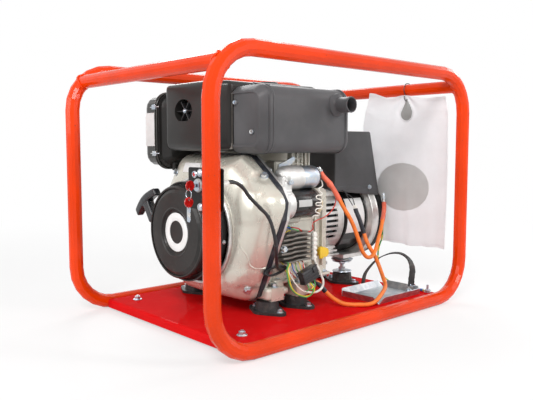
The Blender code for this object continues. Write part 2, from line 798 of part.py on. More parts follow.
def rope_point(along):
    """A point on the rope's line, where it leaves the reel."""
    pull = Vector(PULL)
    side = pull.cross(AXIS["X"])
    return Vector((REEL_X, SHAFT_Y, SHAFT_Z)) + side * ROPE_R + pull * along


def recoil_reel(mat):
    """The rope's grooved reel, on the cover's post."""
    low, high = REEL_X - 0.007, REEL_X + 0.007
    r = ROPE_R - 0.001
    hub = bore_radius(REEL_POST_R, 40)
    profile = [
        (low, hub), (low, r), (low + 0.003, r), (REEL_X, r - 0.006), (high - 0.003, r), (high, r), (high, hub),
    ]
    return node("recoil_reel", turned(profile, sides=40), mat, SHAFT)


def recoil_handle(mat):
    """A T grip on a stem that seats on the cover's boss."""
    stem = node("recoil_handle", slanted_rod(rope_point(BOSS_REACH + GAP), rope_point(GRIP_OFFSET), 0.0085), mat)
    grip_axis = Vector(PULL).cross(AXIS["X"])
    middle = rope_point(GRIP_OFFSET)
    rings = []
    for share, width, depth in ((-1, 0.008, 0.006), (-0.8, 0.012, 0.009), (0, 0.014, 0.011), (0.8, 0.012, 0.009), (1, 0.008, 0.006)):
        centre = middle + grip_axis * share * GRIP_LENGTH / 2 - Vector(PULL) * 0.008 * share**2
        ring = []
        for i in range(10):
            angle = math.tau * i / 10
            ring.append(centre + AXIS["X"] * width * math.cos(angle) + Vector(PULL) * depth * math.sin(angle))
        rings.append(ring)
    weld(stem, stacked(rings))
    return stem


# Air cleaner, muffler and tank


def cleaner_box(mat):
    """The intake box, stepped round the muffler's end, open at its intake and towards the can."""
    low, high = CLEANER_BOX
    wall, (step_x, step_y) = 0.0025, CLEANER_STEP

    def outline(t):
        return [
            (low[0] + t, low[1] + t), (step_x - t, low[1] + t), (step_x - t, step_y + t),
            (high[0] - t, step_y + t), (high[0] - t, high[1] - t), (low[0] + t, high[1] - t),
        ]

    solid = prism(outline(0), "Z", low[2], high[2])
    bmesh.ops.recalc_face_normals(solid, faces=solid.faces)
    front = [edge for edge in solid.edges if all(abs(vert.co.x - low[0]) < 1e-6 for vert in edge.verts)]
    bmesh.ops.bevel(solid, geom=front, offset=0.010, segments=3, profile=0.5, affect="EDGES")
    shell = node("air_cleaner_box", solid, mat)
    middle = (low[2] + high[2]) / 2 + 0.012
    hole = [
        (0.065 + 1.28 * INTAKE_HOLE_R * math.cos(math.tau * i / 16), middle + INTAKE_HOLE_R * math.sin(math.tau * i / 16))
        for i in range(16)
    ]
    passage = prism(can_outline(CAN_HALF[0] - 0.034), "Y", high[1] - 0.012, high[1] + 0.01)
    cut(shell, prism(outline(wall + 0.004), "Z", low[2] + wall + 0.004, high[2] - wall - 0.004))
    cut(shell, prism(hole, "X", low[0] - 0.01, low[0] + 0.02))
    cut(shell, passage)
    return shell


def can_outline(inset):
    """The can's end shape, a tall square with round corners, in X and Z."""
    (x, z), (half_x, half_z) = CAN_CENTRE, CAN_HALF
    radius = max(CAN_CORNER_R - inset, 0.012)
    return rounded_box((x - half_x + inset, x + half_x - inset), (z - half_z + inset, z + half_z - inset), radius, 4)


def can_rings(steps):
    """Rings at (y, inset) steps along the can."""
    return [[Vector((x, y, z)) for x, z in can_outline(inset)] for y, inset in steps]


def cleaner_can(mat):
    """The body between the box and the cap: a neck that widens to a double rim, with a drain nub."""
    low = CLEANER_BOX[1][1] + GAP
    neck, high = low + CAN_NECK_LENGTH, low + CAN_LENGTH
    steps = [
        (low, 0.050), (low, 0.046), (neck - 0.006, 0.045), (neck, 0.024), (neck + 0.014, 0.012), (high - 0.014, 0.008),
        (high - 0.013, 0.001), (high - 0.008, 0.001), (high - 0.007, 0.004), (high - 0.006, 0), (high, 0),
        (high, 0.008), (high - 0.010, 0.012), (neck + 0.014, 0.016), (neck + 0.003, 0.028), (neck - 0.003, 0.050),
    ]
    can = node("air_cleaner_can", lofted([list(profile) for profile in zip(*can_rings(steps))]), mat)
    bottom = CAN_CENTRE[1] - CAN_HALF[1]
    nub = rod("Z", (CAN_CENTRE[0] - 0.038, high - 0.018, 0), bottom - 0.005, bottom + 0.014, 0.006, 10)
    weld(can, nub)
    return can


def cleaner_cap(mat):
    """The end cap, a cup open towards the can."""
    low = CLEANER_BOX[1][1] + CAN_LENGTH + 2 * GAP
    high = low + CAN_CAP_LENGTH
    edge, wall = 0.006, 0.002
    steps = [
        (high - wall, edge + 0.022), (high - 0.014, edge + wall), (low, edge + wall), (low, edge), (high - 0.016, edge),
        (high - 0.010, edge + 0.0015), (high - 0.004, edge + 0.008), (high, edge + 0.020),
    ]
    return node("air_cleaner_cap", stacked(can_rings(steps)), mat)


def muffler_ring(x, inset):
    outline = rounded_box(
        (MUFFLER_Y[0] + inset, MUFFLER_Y[1] - inset), (MUFFLER_Z[0] + inset, MUFFLER_Z[1] - inset), 0.030 - inset, 4
    )
    return [Vector((x, y, z)) for y, z in outline]


def muffler(mat):
    """A sheet box with a rolled right end and an outlet pipe, closed by its end guard."""
    low, high = MUFFLER_X
    wall = 0.0015
    rings = [
        muffler_ring(high - wall, 0.014 + wall), muffler_ring(high - 0.014, wall), muffler_ring(low, wall),
        muffler_ring(low, 0), muffler_ring(high - 0.014, 0), muffler_ring(high - 0.004, 0.004), muffler_ring(high, 0.014),
    ]
    body = node("muffler", stacked(rings), mat)
    face = MUFFLER_Y[0]
    weld(body, rod("Y", (OUTLET_X, 0, OUTLET_Z), face - OUTLET_LENGTH, face + 0.004, OUTLET_R, 20))
    cut(body, rod("Y", (OUTLET_X, 0, OUTLET_Z), face - OUTLET_LENGTH - 0.01, face + 0.02, OUTLET_R - 0.002, 20))
    return body


def muffler_guard(mat):
    """The tapered end cover, a shallow cup over the muffler's left end."""
    rear = MUFFLER_X[0] - GAP
    front = rear - MUFFLER_GUARD
    wall = 0.0015
    rings = [
        muffler_ring(front + wall, 0.015 + wall), muffler_ring(rear - 0.004, wall), muffler_ring(rear, wall),
        muffler_ring(rear, 0), muffler_ring(rear - 0.004, 0), muffler_ring(front + 0.003, 0.012), muffler_ring(front, 0.015),
    ]
    return node("muffler_end_guard", stacked(rings), mat)


def fuel_tank(mat):
    """A pressed tank on the rocker cover, with a filler neck."""
    low = (TANK_X[0], TANK_Y[0], COVER_BASE + COVER_HEIGHT + GAP)
    high = (TANK_X[1], TANK_Y[1], TANK_TOP)
    tank = node("fuel_tank", box(low, high, 0.014, 2), mat)
    wall = 0.0015
    inside = box([v + wall for v in low], [v - wall for v in high], 0.013, 1)
    centre = filler_centre()
    cut(tank, inside)
    weld(tank, rod("Z", centre, TANK_TOP - 0.004, TANK_TOP + 0.003, CAP_R - 0.006))
    cut(tank, rod("Z", centre, TANK_TOP - 0.010, TANK_TOP + 0.010, CAP_R - 0.009))
    return tank


def filler_centre():
    return Vector((TANK_X[0] + 0.72 * (TANK_X[1] - TANK_X[0]), TANK_Y[1] - 0.056, 0))


def fuel_cap(mat):
    """A cap over the filler neck."""
    centre = filler_centre()
    low, top = TANK_TOP + GAP, TANK_TOP + 0.016
    neck = bore_radius(CAP_R - 0.006)
    profile = [
        (top, 0), (top, CAP_R - 0.004), (top - 0.004, CAP_R), (low, CAP_R), (low, neck),
        (TANK_TOP + 0.0035, neck), (TANK_TOP + 0.0035, 0),
    ]
    return node("fuel_cap", turned(profile, "Z", centre), mat, centre + AXIS["Z"] * top)


# Electric starter and small parts


def capsule(u, low, high, low_r, high_r, steps=8):
    """Two circles one above the other, joined by their outer sides."""
    outline = []
    for centre, radius, start in ((low, low_r, 180), (high, high_r, 0)):
        for step in range(steps + 1):
            angle = math.radians(start + 180 * step / steps)
            outline.append((u + radius * math.cos(angle), centre + radius * math.sin(angle)))
    return outline


def starter_nose(mat):
    outline = capsule(STARTER_Y, MOTOR_Z, SOLENOID_Z, MOTOR_R, SOLENOID_R)
    back = CASE_X[0] - GAP + 2 * GAP
    return node("starter_nose", prism(outline, "X", back, back + NOSE_LENGTH), mat)


def starter_motor(mat):
    low = CASE_X[0] + NOSE_LENGTH + 2 * GAP
    profile = [(0, 0), (0, MOTOR_R), (MOTOR_LENGTH - 0.004, MOTOR_R), (MOTOR_LENGTH, MOTOR_R - 0.004), (MOTOR_LENGTH, 0)]
    return node("starter_motor", turned(profile, "X", Vector((low, STARTER_Y, MOTOR_Z)), 20), mat)


def solenoid(mat):
    """The solenoid barrel with its terminal stud."""
    low = CASE_X[0] + NOSE_LENGTH + 2 * GAP
    end = SOLENOID_LENGTH
    profile = [(0, 0), (0, SOLENOID_R), (end - 0.003, SOLENOID_R), (end, SOLENOID_R - 0.003), (end, 0)]
    body = node("solenoid", turned(profile, "X", Vector((low, STARTER_Y, SOLENOID_Z)), 20), mat)
    weld(body, rod("X", (low, STARTER_Y, SOLENOID_Z + 0.012), end - 0.004, end + 0.010, 0.004, 8))
    return body


def starter_pinion(mat):
    """The pinion that slides out to the ring gear."""
    back = CASE_X[0]
    front = back - BACK_PLATE_THICK - 0.006
    profile = [(front, 0), (front, PINION_R - 0.004), (front + 0.002, PINION_R - 0.002), (back - GAP, PINION_R - 0.002), (back - GAP, 0)]
    return node("starter_pinion", turned(profile, "X", Vector((0, STARTER_Y, MOTOR_Z)), 16), mat, (back, STARTER_Y, MOTOR_Z))


def injection_pump(mat):
    low = CASE_TOP + 0.006 + GAP
    pump = node("injection_pump", box((-0.083, -0.083, low), (-0.047, -0.047, low + 0.064), 0.003, 1), mat)
    return pump


def speed_lever(mat):
    """A lever on the pump's near face."""
    pivot = Vector((-0.065, -0.083 - GAP, 0.352))
    outline = rounded([(-0.074, 0.343, 0.006), (-0.056, 0.343, 0.006), (-0.020, 0.372, 0.004), (-0.024, 0.380, 0.004), (-0.060, 0.366, 0.006), (-0.074, 0.361, 0.006)])
    return node("speed_lever", prism(outline, "Y", pivot.y - 0.003, pivot.y), mat, pivot)


def dipstick(mat):
    """A yellow cap with its stick, pushed into the case."""
    near = SHAFT_Y - CASE_HALF_WIDTH - GAP
    cap, r = 0.022, DIPSTICK_CAP_R
    profile = [
        (near + 0.055, 0), (near + 0.055, DIPSTICK_R), (near, DIPSTICK_R), (near, r - 0.003),
        (near - 0.006, r), (near - cap, r - 0.002), (near - cap, 0),
    ]
    pivot = Vector((DIPSTICK_X, 0, DIPSTICK_Z))
    return node("dipstick", turned(profile[::-1], "Y", pivot, 12), mat, pivot + AXIS["Y"] * near)


REGULATOR_BACK = -0.1077


def regulator(mat):
    """A block with upright fins in a stack."""
    low, high = (REGULATOR_BACK - 0.028, 0.138), (REGULATOR_BACK, 0.207)
    outline = comb(low, high, 7, 0.012, 0.005)
    back = [(min(u, high[0]), v) for u, v in outline]
    plain = [(high[0] if u > low[0] + 0.0121 else u, v) for u, v in back]
    return node("regulator", prism(plain, "X", -0.112, -0.014), mat)


# Alternator


def front_bell(mat):
    """A cast bell with slots in its near and far sides."""
    end, wall = BELL_LENGTH, 0.006
    profile = [
        (0, 0.030), (0, 0.062), (0.012, 0.070), (0.030, BELL_R), (end, BELL_R), (end, BELL_R - wall),
        (0.032, BELL_R - wall), (0.010, 0.062), (wall, 0.030),
    ]
    bell = node("alternator_front_bell", turned(profile, "X", SHAFT + AXIS["X"] * BELL_X, 32), mat)
    slots = [
        box((BELL_X + 0.042, SHAFT_Y - 0.2, z - 0.0035), (BELL_X + 0.086, SHAFT_Y + 0.2, z + 0.0035))
        for z in [SHAFT_Z + 0.014 * (i - 3) for i in range(7)]
    ]
    cut(bell, *slots)
    return bell


def stator(mat):
    inner = ROTOR_R + AIR_GAP
    profile = [(0, inner), (0, STATOR_R), (STATOR_LENGTH, STATOR_R), (STATOR_LENGTH, inner)]
    return node("stator", turned(profile, "X", SHAFT + AXIS["X"] * STATOR_X, 32), mat)


def rear_bell(mat):
    """A cast ring with the rear bearing's hub and the two feet."""
    end, hub = REAR_BELL_LENGTH, bore_radius(BEARING_R)
    profile = [
        (0, 0.094), (0, STATOR_R + 0.006), (0.006, REAR_BELL_R), (end, REAR_BELL_R), (end, hub),
        (end - 0.014, hub), (end - 0.014, 0.030), (end - 0.008, 0.034), (end - 0.008, 0.094),
    ]
    bell = node("alternator_rear_bell", turned(profile, "X", SHAFT + AXIS["X"] * REAR_BELL_X, 32), mat)
    low = ALTERNATOR_STUD_TOP + GAP
    foot = box(
        (ALTERNATOR_MOUNT_X - 0.022, ALTERNATOR_MOUNT_Y[0] - 0.024, low),
        (REAR_BELL_X + end - 0.006, ALTERNATOR_MOUNT_Y[1] + 0.024, low + 0.010),
    )
    neck = box(
        (REAR_BELL_X + 0.006, ALTERNATOR_MOUNT_Y[0], low + 0.005),
        (REAR_BELL_X + end - 0.008, ALTERNATOR_MOUNT_Y[1], low + 0.032),
    )
    weld(bell, foot, neck)
    cut(bell, rod("X", SHAFT, STATOR_X, REAR_BELL_X - 0, STATOR_R + GAP, 32))
    return bell


ALTERNATOR_STUD_TOP = 0.096


def rear_cover(mat):
    """A dished cover over the rear of the alternator."""
    end, r, wall = REAR_COVER_LENGTH, REAR_COVER_R, 0.002
    profile = [
        (end - wall, 0), (end - wall, r - 0.018), (end - 0.012, r - wall), (0, r - wall),
        (0, r), (end - 0.011, r), (end, r - 0.016), (end, 0),
    ]
    return node("alternator_rear_cover", turned(profile, "X", SHAFT + AXIS["X"] * REAR_COVER_X, 32), mat)


def rotor(mat):
    """Shaft, core and bearing journal in one, behind the crankshaft's end."""
    start = STATOR_X - BELL_LENGTH / 2 + GAP
    core = (STATOR_X + 0.006, STATOR_X + STATOR_LENGTH - 0.006)
    bearing = REAR_BELL_X + REAR_BELL_LENGTH - 0.014
    end = REAR_COVER_X + 0.012
    profile = [
        (start, 0), (start, ROTOR_SHAFT_R), (core[0], ROTOR_SHAFT_R), (core[0], ROTOR_R), (core[1], ROTOR_R),
        (core[1], ROTOR_SHAFT_R), (bearing, ROTOR_SHAFT_R), (bearing, BEARING_R), (end, BEARING_R), (end, 0),
    ]
    return node("alternator_rotor", turned(profile), mat, SHAFT)


def control_box(mat):
    """A folded box over the alternator, open underneath and cut to sit on its castings."""
    (left, right), (near, far), (low, high) = CONTROL_X, CONTROL_Y, CONTROL_Z
    slope = 0.043
    outline = [(left, low + 0.020), (right, low), (right - slope, high), (left, high)]
    shell = node("control_box", prism(outline, "Y", near, far), mat)
    t = 0.002
    inner = [(left + t, low - 0.02), (right - t, low - 0.02), (right - slope - t, high - t), (left + t, high - t)]
    cut(shell, prism(inner, "Y", near + t, far - t))
    cut(shell, rod("X", SHAFT, BELL_X, REAR_BELL_X - 2 * GAP, BELL_R + 0.0055, 32))
    cut(shell, rod("X", SHAFT, REAR_BELL_X - 3 * GAP, REAR_COVER_X + REAR_COVER_LENGTH, REAR_BELL_R + 2 * GAP, 32))
    return shell


# Key panel


def key_panel(mat):
    near = -LOOP_Y - TUBE_R + 0.003
    outline = rounded_box(
        (near, near + PANEL_LENGTH), (PANEL_MIDDLE_Z - PANEL_HEIGHT / 2, PANEL_MIDDLE_Z + PANEL_HEIGHT / 2), 0.004, 2
    )
    panel = node("key_panel", prism(outline, "X", PANEL_X, PANEL_X + PANEL_THICK), mat)
    holes = [
        rod("X", (PANEL_X, y, z), -0.01, 0.01, bore_radius(radius, 12), 12)
        for y, z, radius in ((SWITCH_Y, SWITCH_Z, 0.009), (LAMP_Y, LAMP_Z, 0.004))
    ]
    cut(panel, *holes)
    return panel


def key_switch(mat):
    """Barrel through the panel with a bezel in front, bored for the key."""
    front = -0.005
    key = 0.0035
    profile = [
        (front, key), (front, 0.011), (-GAP, 0.011), (-GAP, 0.009), (0.045, 0.009), (0.045, 0), (0.012, 0), (0.012, key),
    ]
    centre = Vector((PANEL_X, SWITCH_Y, SWITCH_Z))
    body = [(0.012, 0), (0.012, key), (front, key), (front, 0.011), (-GAP, 0.011), (-GAP, 0.009), (0.045, 0.009), (0.045, 0)]
    return node("key_switch", turned(body if profile else body, "X", centre, 12), mat)


def ignition_key(mat):
    """A key in the switch: round stem, flat head with a hole for the ring."""
    centre = Vector((PANEL_X, SWITCH_Y, SWITCH_Z))
    key = node("ignition_key", rod("X", centre, -0.014, 0.010, 0.003, 8), mat, centre)
    head = rounded([(-0.029, -0.0105, 0.006), (-0.011, -0.0105, 0.006), (-0.011, 0.0105, 0.006), (-0.029, 0.0105, 0.006)])
    placed = [(centre.x + u, centre.z + v) for u, v in head]
    weld(key, prism(placed, "Y", centre.y - 0.0013, centre.y + 0.0013))
    cut(key, rod("Y", key_hole(), -0.01, 0.01, KEY_HOLE_R, 8))
    return key


def key_hole():
    """The centre of the hole in the key's head."""
    return Vector((PANEL_X - 0.0225, SWITCH_Y, SWITCH_Z - 0.0058))


RING_R = 0.0085
RING_WIRE_R = 0.0007
KEY_HOLE_R = 0.0026
KEY_HANG = KEY_HOLE_R * math.cos(math.pi / 8) - RING_WIRE_R - GAP


def ring_centre():
    return key_hole() - AXIS["Z"] * (RING_R + KEY_HANG)


def key_ring(mat):
    """A wire ring through both keys, hanging across the switch key's head."""
    centre, sides, steps = ring_centre(), 6, 20
    rings = []
    for step in range(steps):
        turn = math.tau * step / steps
        outward = Vector((0, math.sin(turn), math.cos(turn)))
        rings.append([
            centre + outward * (RING_R + RING_WIRE_R * math.cos(math.tau * side / sides))
            + AXIS["X"] * RING_WIRE_R * math.sin(math.tau * side / sides)
            for side in range(sides)
        ])
    return node("key_ring", lofted(rings), mat, key_hole())


def spare_key(mat):
    """A second key that hangs from the ring, blade down."""
    hole = ring_centre() - AXIS["Z"] * (RING_R + KEY_HANG)
    top = hole.z + 0.0052
    outline = rounded([
        (hole.x - 0.0095, top - 0.020, 0.006), (hole.x - 0.003, top - 0.023, 0), (hole.x - 0.003, top - 0.047, 0),
        (hole.x + 0.003, top - 0.047, 0), (hole.x + 0.003, top - 0.023, 0), (hole.x + 0.0095, top - 0.020, 0.006),
        (hole.x + 0.0095, top, 0.008), (hole.x - 0.0095, top, 0.008),
    ])
    key = node("spare_key", prism(outline, "Y", hole.y - 0.0012, hole.y + 0.0012), mat, hole)
    cut(key, rod("Y", hole, -0.01, 0.01, KEY_HOLE_R, 8))
    return key


# Bag and cords


def document_bag(mat):
    """A flat bag against the rear cross bar's inner side."""
    outer = CROSS_X - TUBE_R - GAP
    outline = [
        (0.008, 0.560), (-0.243, 0.536), (-0.2495, 0.300), (-0.2505, 0.140), (-0.155, 0.131), (-0.052, 0.131), (-0.012, 0.330),
    ]
    return node("document_bag", prism(outline, "X", outer - BAG_THICK, outer), mat)


STARTER_CABLE = [
    (0.0342, -0.1315, 0.3440), (0.0445, -0.1395, 0.320), (0.065, -0.150, 0.283), (0.104, -0.155, 0.234),
    (0.130, -0.160, 0.171), (0.150, -0.160, 0.141), (0.170, -0.157, 0.126), (0.194, -0.150, 0.130),
    (0.226, -0.144, 0.148), (0.258, -0.132, 0.172), (0.290, -0.116, 0.196), (0.322, -0.099, 0.218),
    (0.344, -0.086, 0.233), (0.3525, -0.0765, 0.246),
]
OUTPUT_CABLE = [
    (0.192, -0.082, 0.262), (0.195, -0.091, 0.240), (0.199, -0.105, 0.208),
    (0.202, -0.115, 0.179), (0.209, -0.125, 0.151), (0.217, -0.132, 0.125), (0.220, -0.145, 0.102),
    (0.216, -0.160, 0.084), (0.207, -0.178, 0.067), (0.192, -0.195, 0.058), (0.170, -0.210, 0.053),
    (0.145, -0.224, 0.051), (0.118, -0.233, 0.043), (0.098, -0.235, 0.035), (0.081, -0.228, 0.031),
    (0.066, -0.216, 0.031), (0.052, -0.203, 0.031), (0.040, -0.190, 0.033), (0.030, -0.177, 0.040),
    (0.020, -0.164, 0.051), (0.009, -0.154, 0.066), (-0.002, -0.146, 0.082), (-0.020, -0.138, 0.090),
]
KEY_LOOM = [
    (-0.3468, -0.210, 0.332), (-0.335, -0.210, 0.332), (-0.300, -0.194, 0.334), (-0.270, -0.186, 0.324),
    (-0.245, -0.183, 0.300), (-0.220, -0.186, 0.277), (-0.200, -0.189, 0.257), (-0.188, -0.192, 0.226),
    (-0.176, -0.187, 0.192), (-0.160, -0.172, 0.158), (-0.142, -0.154, 0.140), (-0.121, -0.140, 0.130),
    (-0.098, -0.130, 0.128),
]
EARTH_WIRE = [
    (0.3563, -0.060, 0.215), (0.3563, -0.0575, 0.180), (0.3563, -0.0557, 0.146), (0.3560, -0.047, 0.120),
    (0.3560, -0.043, 0.098), (0.3545, -0.048, 0.070), (0.352, -0.062, 0.043), (0.340, -0.095, 0.0290),
    (0.3216, -0.1284, 0.0285), (0.3188, -0.1885, 0.0285), (0.3155, -0.215, 0.0285), (0.3155, -0.2255, 0.029),
]

REEL_X = RECOIL_X + 0.020


def main():
    clear_scene()
    red = material("red_paint", (0.78, 0.06, 0.01), 0.30)
    crimson = material("plate_paint", (0.62, 0.015, 0.01), 0.30)
    rubber = material("rubber", (0.03, 0.03, 0.03), 0.75)
    zinc = material("zinc", (0.62, 0.62, 0.60), 0.35, 1.0)
    cast = material("cast_aluminium", (0.52, 0.52, 0.50), 0.50, 0.9)
    silver = material("silver_paint", (0.60, 0.58, 0.50), 0.35, 0.3)
    black = material("black_paint", (0.03, 0.03, 0.03), 0.45)
    steel = material("steel", (0.45, 0.45, 0.45), 0.35, 1.0)
    iron = material("cast_iron", (0.20, 0.20, 0.20), 0.60, 0.8)
    dark = material("dark_sheet", (0.06, 0.06, 0.06), 0.45, 0.2)
    orange = material("orange_cable", (0.85, 0.22, 0.02), 0.45)
    yellow = material("yellow_plastic", (0.80, 0.50, 0.02), 0.45)
    green = material("earth_wire_green", (0.15, 0.50, 0.08), 0.45)
    lens = material("red_lens", (0.55, 0.01, 0.01), 0.20)
    film = material("white_film", (0.80, 0.80, 0.80), 0.50)

    side_loop("near_side_loop", -LOOP_Y, red)
    side_loop("far_side_loop", LOOP_Y, red)
    cross_bar("front_cross_bar", -CROSS_X, red)
    cross_bar("rear_cross_bar", CROSS_X, red)
    cross_rail("front_cross_rail", -1, crimson)
    cross_rail("rear_cross_rail", 1, crimson)
    base_plate(crimson)

    for i, (x, y) in enumerate([(x, y) for y in ENGINE_MOUNT_Y for x in ENGINE_MOUNT_X], 1):
        mount(f"engine_mount_{i}", x, y, rubber)
    for i, y in enumerate(ALTERNATOR_MOUNT_Y, 1):
        mount(f"alternator_mount_{i}", ALTERNATOR_MOUNT_X, y, rubber, ALTERNATOR_STUD_TOP)
    battery_tray(zinc)
    battery_strap(rubber)
    earth_stud(zinc)

    crankcase(cast)
    crankshaft(steel)
    piston(cast)
    cylinder(iron)
    cylinder_head(cast)
    rocker_cover(cast)
    fan_housing(silver)
    housing_seal(rubber)
    back_plate(cast)
    flywheel(iron)
    recoil_cover(black)
    recoil_reel(black)
    recoil_handle(black)
    cleaner_box(black)
    cleaner_can(black)
    cleaner_cap(dark)
    muffler(dark)
    muffler_guard(dark)
    fuel_tank(black)
    fuel_cap(black)
    starter_nose(cast)
    starter_motor(black)
    solenoid(zinc)
    starter_pinion(steel)
    injection_pump(steel)
    speed_lever(zinc)
    dipstick(yellow)
    regulator(dark)

    front_bell(cast)
    stator(black)
    rear_bell(cast)
    rear_cover(black)
    rotor(steel)
    control_box(dark)

    key_panel(black)
    key_switch(steel)
    ignition_key(lens)
    key_ring(steel)
    spare_key(lens)

    document_bag(film)
    cord("starter_cable", STARTER_CABLE, 0.010, orange)
    cord("output_cable", OUTPUT_CABLE, 0.010, orange)
    cord("key_loom", KEY_LOOM, 0.008, black)
    cord("earth_wire", EARTH_WIRE, 0.0045, green)


main()
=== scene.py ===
"""Looks of an engine driven welder set: finishes for its CAD parts, and fine pieces modelled round them."""

import math

import bmesh
import bpy
from mathutils import Euler, Matrix, Vector


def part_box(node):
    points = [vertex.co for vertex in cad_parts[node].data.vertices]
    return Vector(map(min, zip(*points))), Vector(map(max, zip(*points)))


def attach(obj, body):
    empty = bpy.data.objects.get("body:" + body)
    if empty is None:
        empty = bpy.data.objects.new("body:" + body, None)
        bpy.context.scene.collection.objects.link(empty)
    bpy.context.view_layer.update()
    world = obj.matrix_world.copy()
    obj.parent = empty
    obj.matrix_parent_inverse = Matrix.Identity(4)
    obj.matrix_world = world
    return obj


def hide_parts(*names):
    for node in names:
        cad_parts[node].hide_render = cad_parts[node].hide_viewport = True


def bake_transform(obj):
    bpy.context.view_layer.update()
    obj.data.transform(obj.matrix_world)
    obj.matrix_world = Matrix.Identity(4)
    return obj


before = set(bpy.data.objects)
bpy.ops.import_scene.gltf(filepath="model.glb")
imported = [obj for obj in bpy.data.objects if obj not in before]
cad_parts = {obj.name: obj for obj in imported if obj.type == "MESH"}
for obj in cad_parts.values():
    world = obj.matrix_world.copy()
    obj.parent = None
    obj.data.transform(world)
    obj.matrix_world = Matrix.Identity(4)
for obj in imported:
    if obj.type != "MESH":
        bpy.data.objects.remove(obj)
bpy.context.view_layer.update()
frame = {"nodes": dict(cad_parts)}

bl_info = {
    "name": "Engine driven welder set",
    "version": (1, 0, 0),
    "blender": (4, 5, 0),
    "location": "View3D > Sidebar > Welder set",
    "description": "Builds the finishes and fine pieces of an engine driven welder set round its CAD frame",
    "category": "Add Mesh",
}

NODES = frame["nodes"]

NEAR = Vector((0, -1, 0))
FAR = Vector((0, 1, 0))
UP = Vector((0, 0, 1))
RECOIL_SIDE = Vector((-1, 0, 0))
ALTERNATOR_SIDE = Vector((1, 0, 0))
MM = 0.001


# Modelling.


def in_metres(points):
    """The points as they are, or those of a text such as "0 12.5, 4 12.5" in millimetres."""
    if isinstance(points, str):
        return [tuple(float(part) / 1000 for part in point.split()) for point in points.split(",")]
    return points


def object_mode():
    if bpy.context.object and bpy.context.object.mode != "OBJECT":
        bpy.ops.object.mode_set(mode="OBJECT")


def only(*pieces):
    """Selects these pieces alone and makes the first one active."""
    object_mode()
    bpy.ops.object.select_all(action="DESELECT")
    for piece in pieces:
        piece.select_set(True)
    bpy.context.view_layer.objects.active = pieces[0]


def start(kind, name, **where):
    """Adds a primitive with nothing else selected, and puts its place in its mesh."""
    object_mode()
    bpy.ops.object.select_all(action="DESELECT")
    getattr(bpy.ops.mesh, f"primitive_{kind}_add")(**where)
    piece = bpy.context.object
    bpy.ops.object.transform_apply(location=True, rotation=True, scale=True)
    piece.name = piece.data.name = name
    return piece


class Shaping:
    """Edit mode on one piece, in which faces, edges and points are chosen by their place or normal."""

    def __init__(self, piece):
        self.piece = piece

    def __enter__(self):
        only(self.piece)
        bpy.ops.object.mode_set(mode="EDIT")
        return self

    def __exit__(self, *problem):
        bpy.ops.object.mode_set(mode="OBJECT")

    def _choose(self, mode, group, test):
        bpy.ops.mesh.select_mode(type=mode)
        bpy.ops.mesh.select_all(action="DESELECT")
        mesh = bmesh.from_edit_mesh(self.piece.data)
        mesh.normal_update()
        for item in getattr(mesh, group):
            if test(item):
                item.select_set(True)
        mesh.select_flush_mode()
        bmesh.update_edit_mesh(self.piece.data)

    def faces(self, test):
        self._choose("FACE", "faces", test)

    def facing(self, way, least=0.9):
        way = Vector(way).normalized()
        self.faces(lambda face: face.normal.dot(way) > least)

    def edges(self, test):
        self._choose("EDGE", "edges", test)

    def corners(self, test):
        self._choose("VERT", "verts", test)

    def sharp(self, least=0.5, also=lambda edge: True):
        self.edges(lambda edge: edge.is_manifold and edge.calc_face_angle(0) > least and also(edge))

    def everything(self):
        bpy.ops.mesh.select_all(action="SELECT")

    def push(self, by):
        bpy.ops.mesh.extrude_region_move(TRANSFORM_OT_translate={"value": tuple(by)})

    def move(self, by):
        bpy.ops.transform.translate(value=tuple(by))

    def scale(self, by, centre):
        bpy.ops.transform.resize(value=tuple(by), center_override=tuple(centre))

    def inset(self, width):
        bpy.ops.mesh.inset(thickness=width, use_even_offset=True)

    def bevel(self, width, segments=2):
        bpy.ops.mesh.bevel(offset=width, segments=segments, affect="EDGES", clamp_overlap=True)

    def outward(self, merge=1e-6):
        self.everything()
        if merge:
            bpy.ops.mesh.remove_doubles(threshold=merge)
        bpy.ops.mesh.normals_make_consistent(inside=False)


def smooth(piece, degrees=35):
    only(piece)
    bpy.ops.object.shade_smooth_by_angle(angle=math.radians(degrees))
    return piece


def apply(piece, kind, **settings):
    """Adds a modifier, sets it and applies it."""
    only(piece)
    modifier = piece.modifiers.new(kind.title(), kind)
    for key, value in settings.items():
        setattr(modifier, key, value)
    bpy.ops.object.modifier_apply(modifier=modifier.name)
    return piece


def join(name, first, *others):
    """One piece made of several shells."""
    if others:
        only(first, *others)
        bpy.ops.object.join()
    first.name = first.data.name = name
    return first


def cast(name, passes, *shells):
    """Shells melted into one casting, softened in this many passes."""
    piece = join(name, *shells)
    apply(piece, "REMESH", mode="VOXEL", voxel_size=0.0014)
    apply(piece, "SMOOTH", factor=0.6, iterations=passes)
    return smooth(piece, 60)


def cut(piece, cutter):
    """A piece less its cutter, which is removed."""
    apply(piece, "BOOLEAN", operation="DIFFERENCE", object=cutter, solver="EXACT")
    bpy.data.objects.remove(cutter)
    return piece


def standing(at, along=UP, turn=0.0):
    """The matrix that stands a piece made along +Z at a point, along a direction."""
    aim = Vector(along).normalized().to_track_quat("Z", "Y").to_matrix().to_4x4()
    return Matrix.Translation(at) @ aim @ Matrix.Rotation(turn, 4, "Z")


def laid(at, degrees, axis):
    """The matrix that turns a piece about an axis and then brings it to a point."""
    return Matrix.Translation(at) @ Matrix.Rotation(math.radians(degrees), 4, axis)


def place(piece, matrix):
    piece.data.transform(matrix)
    if matrix.determinant() < 0:
        piece.data.flip_normals()
    return piece


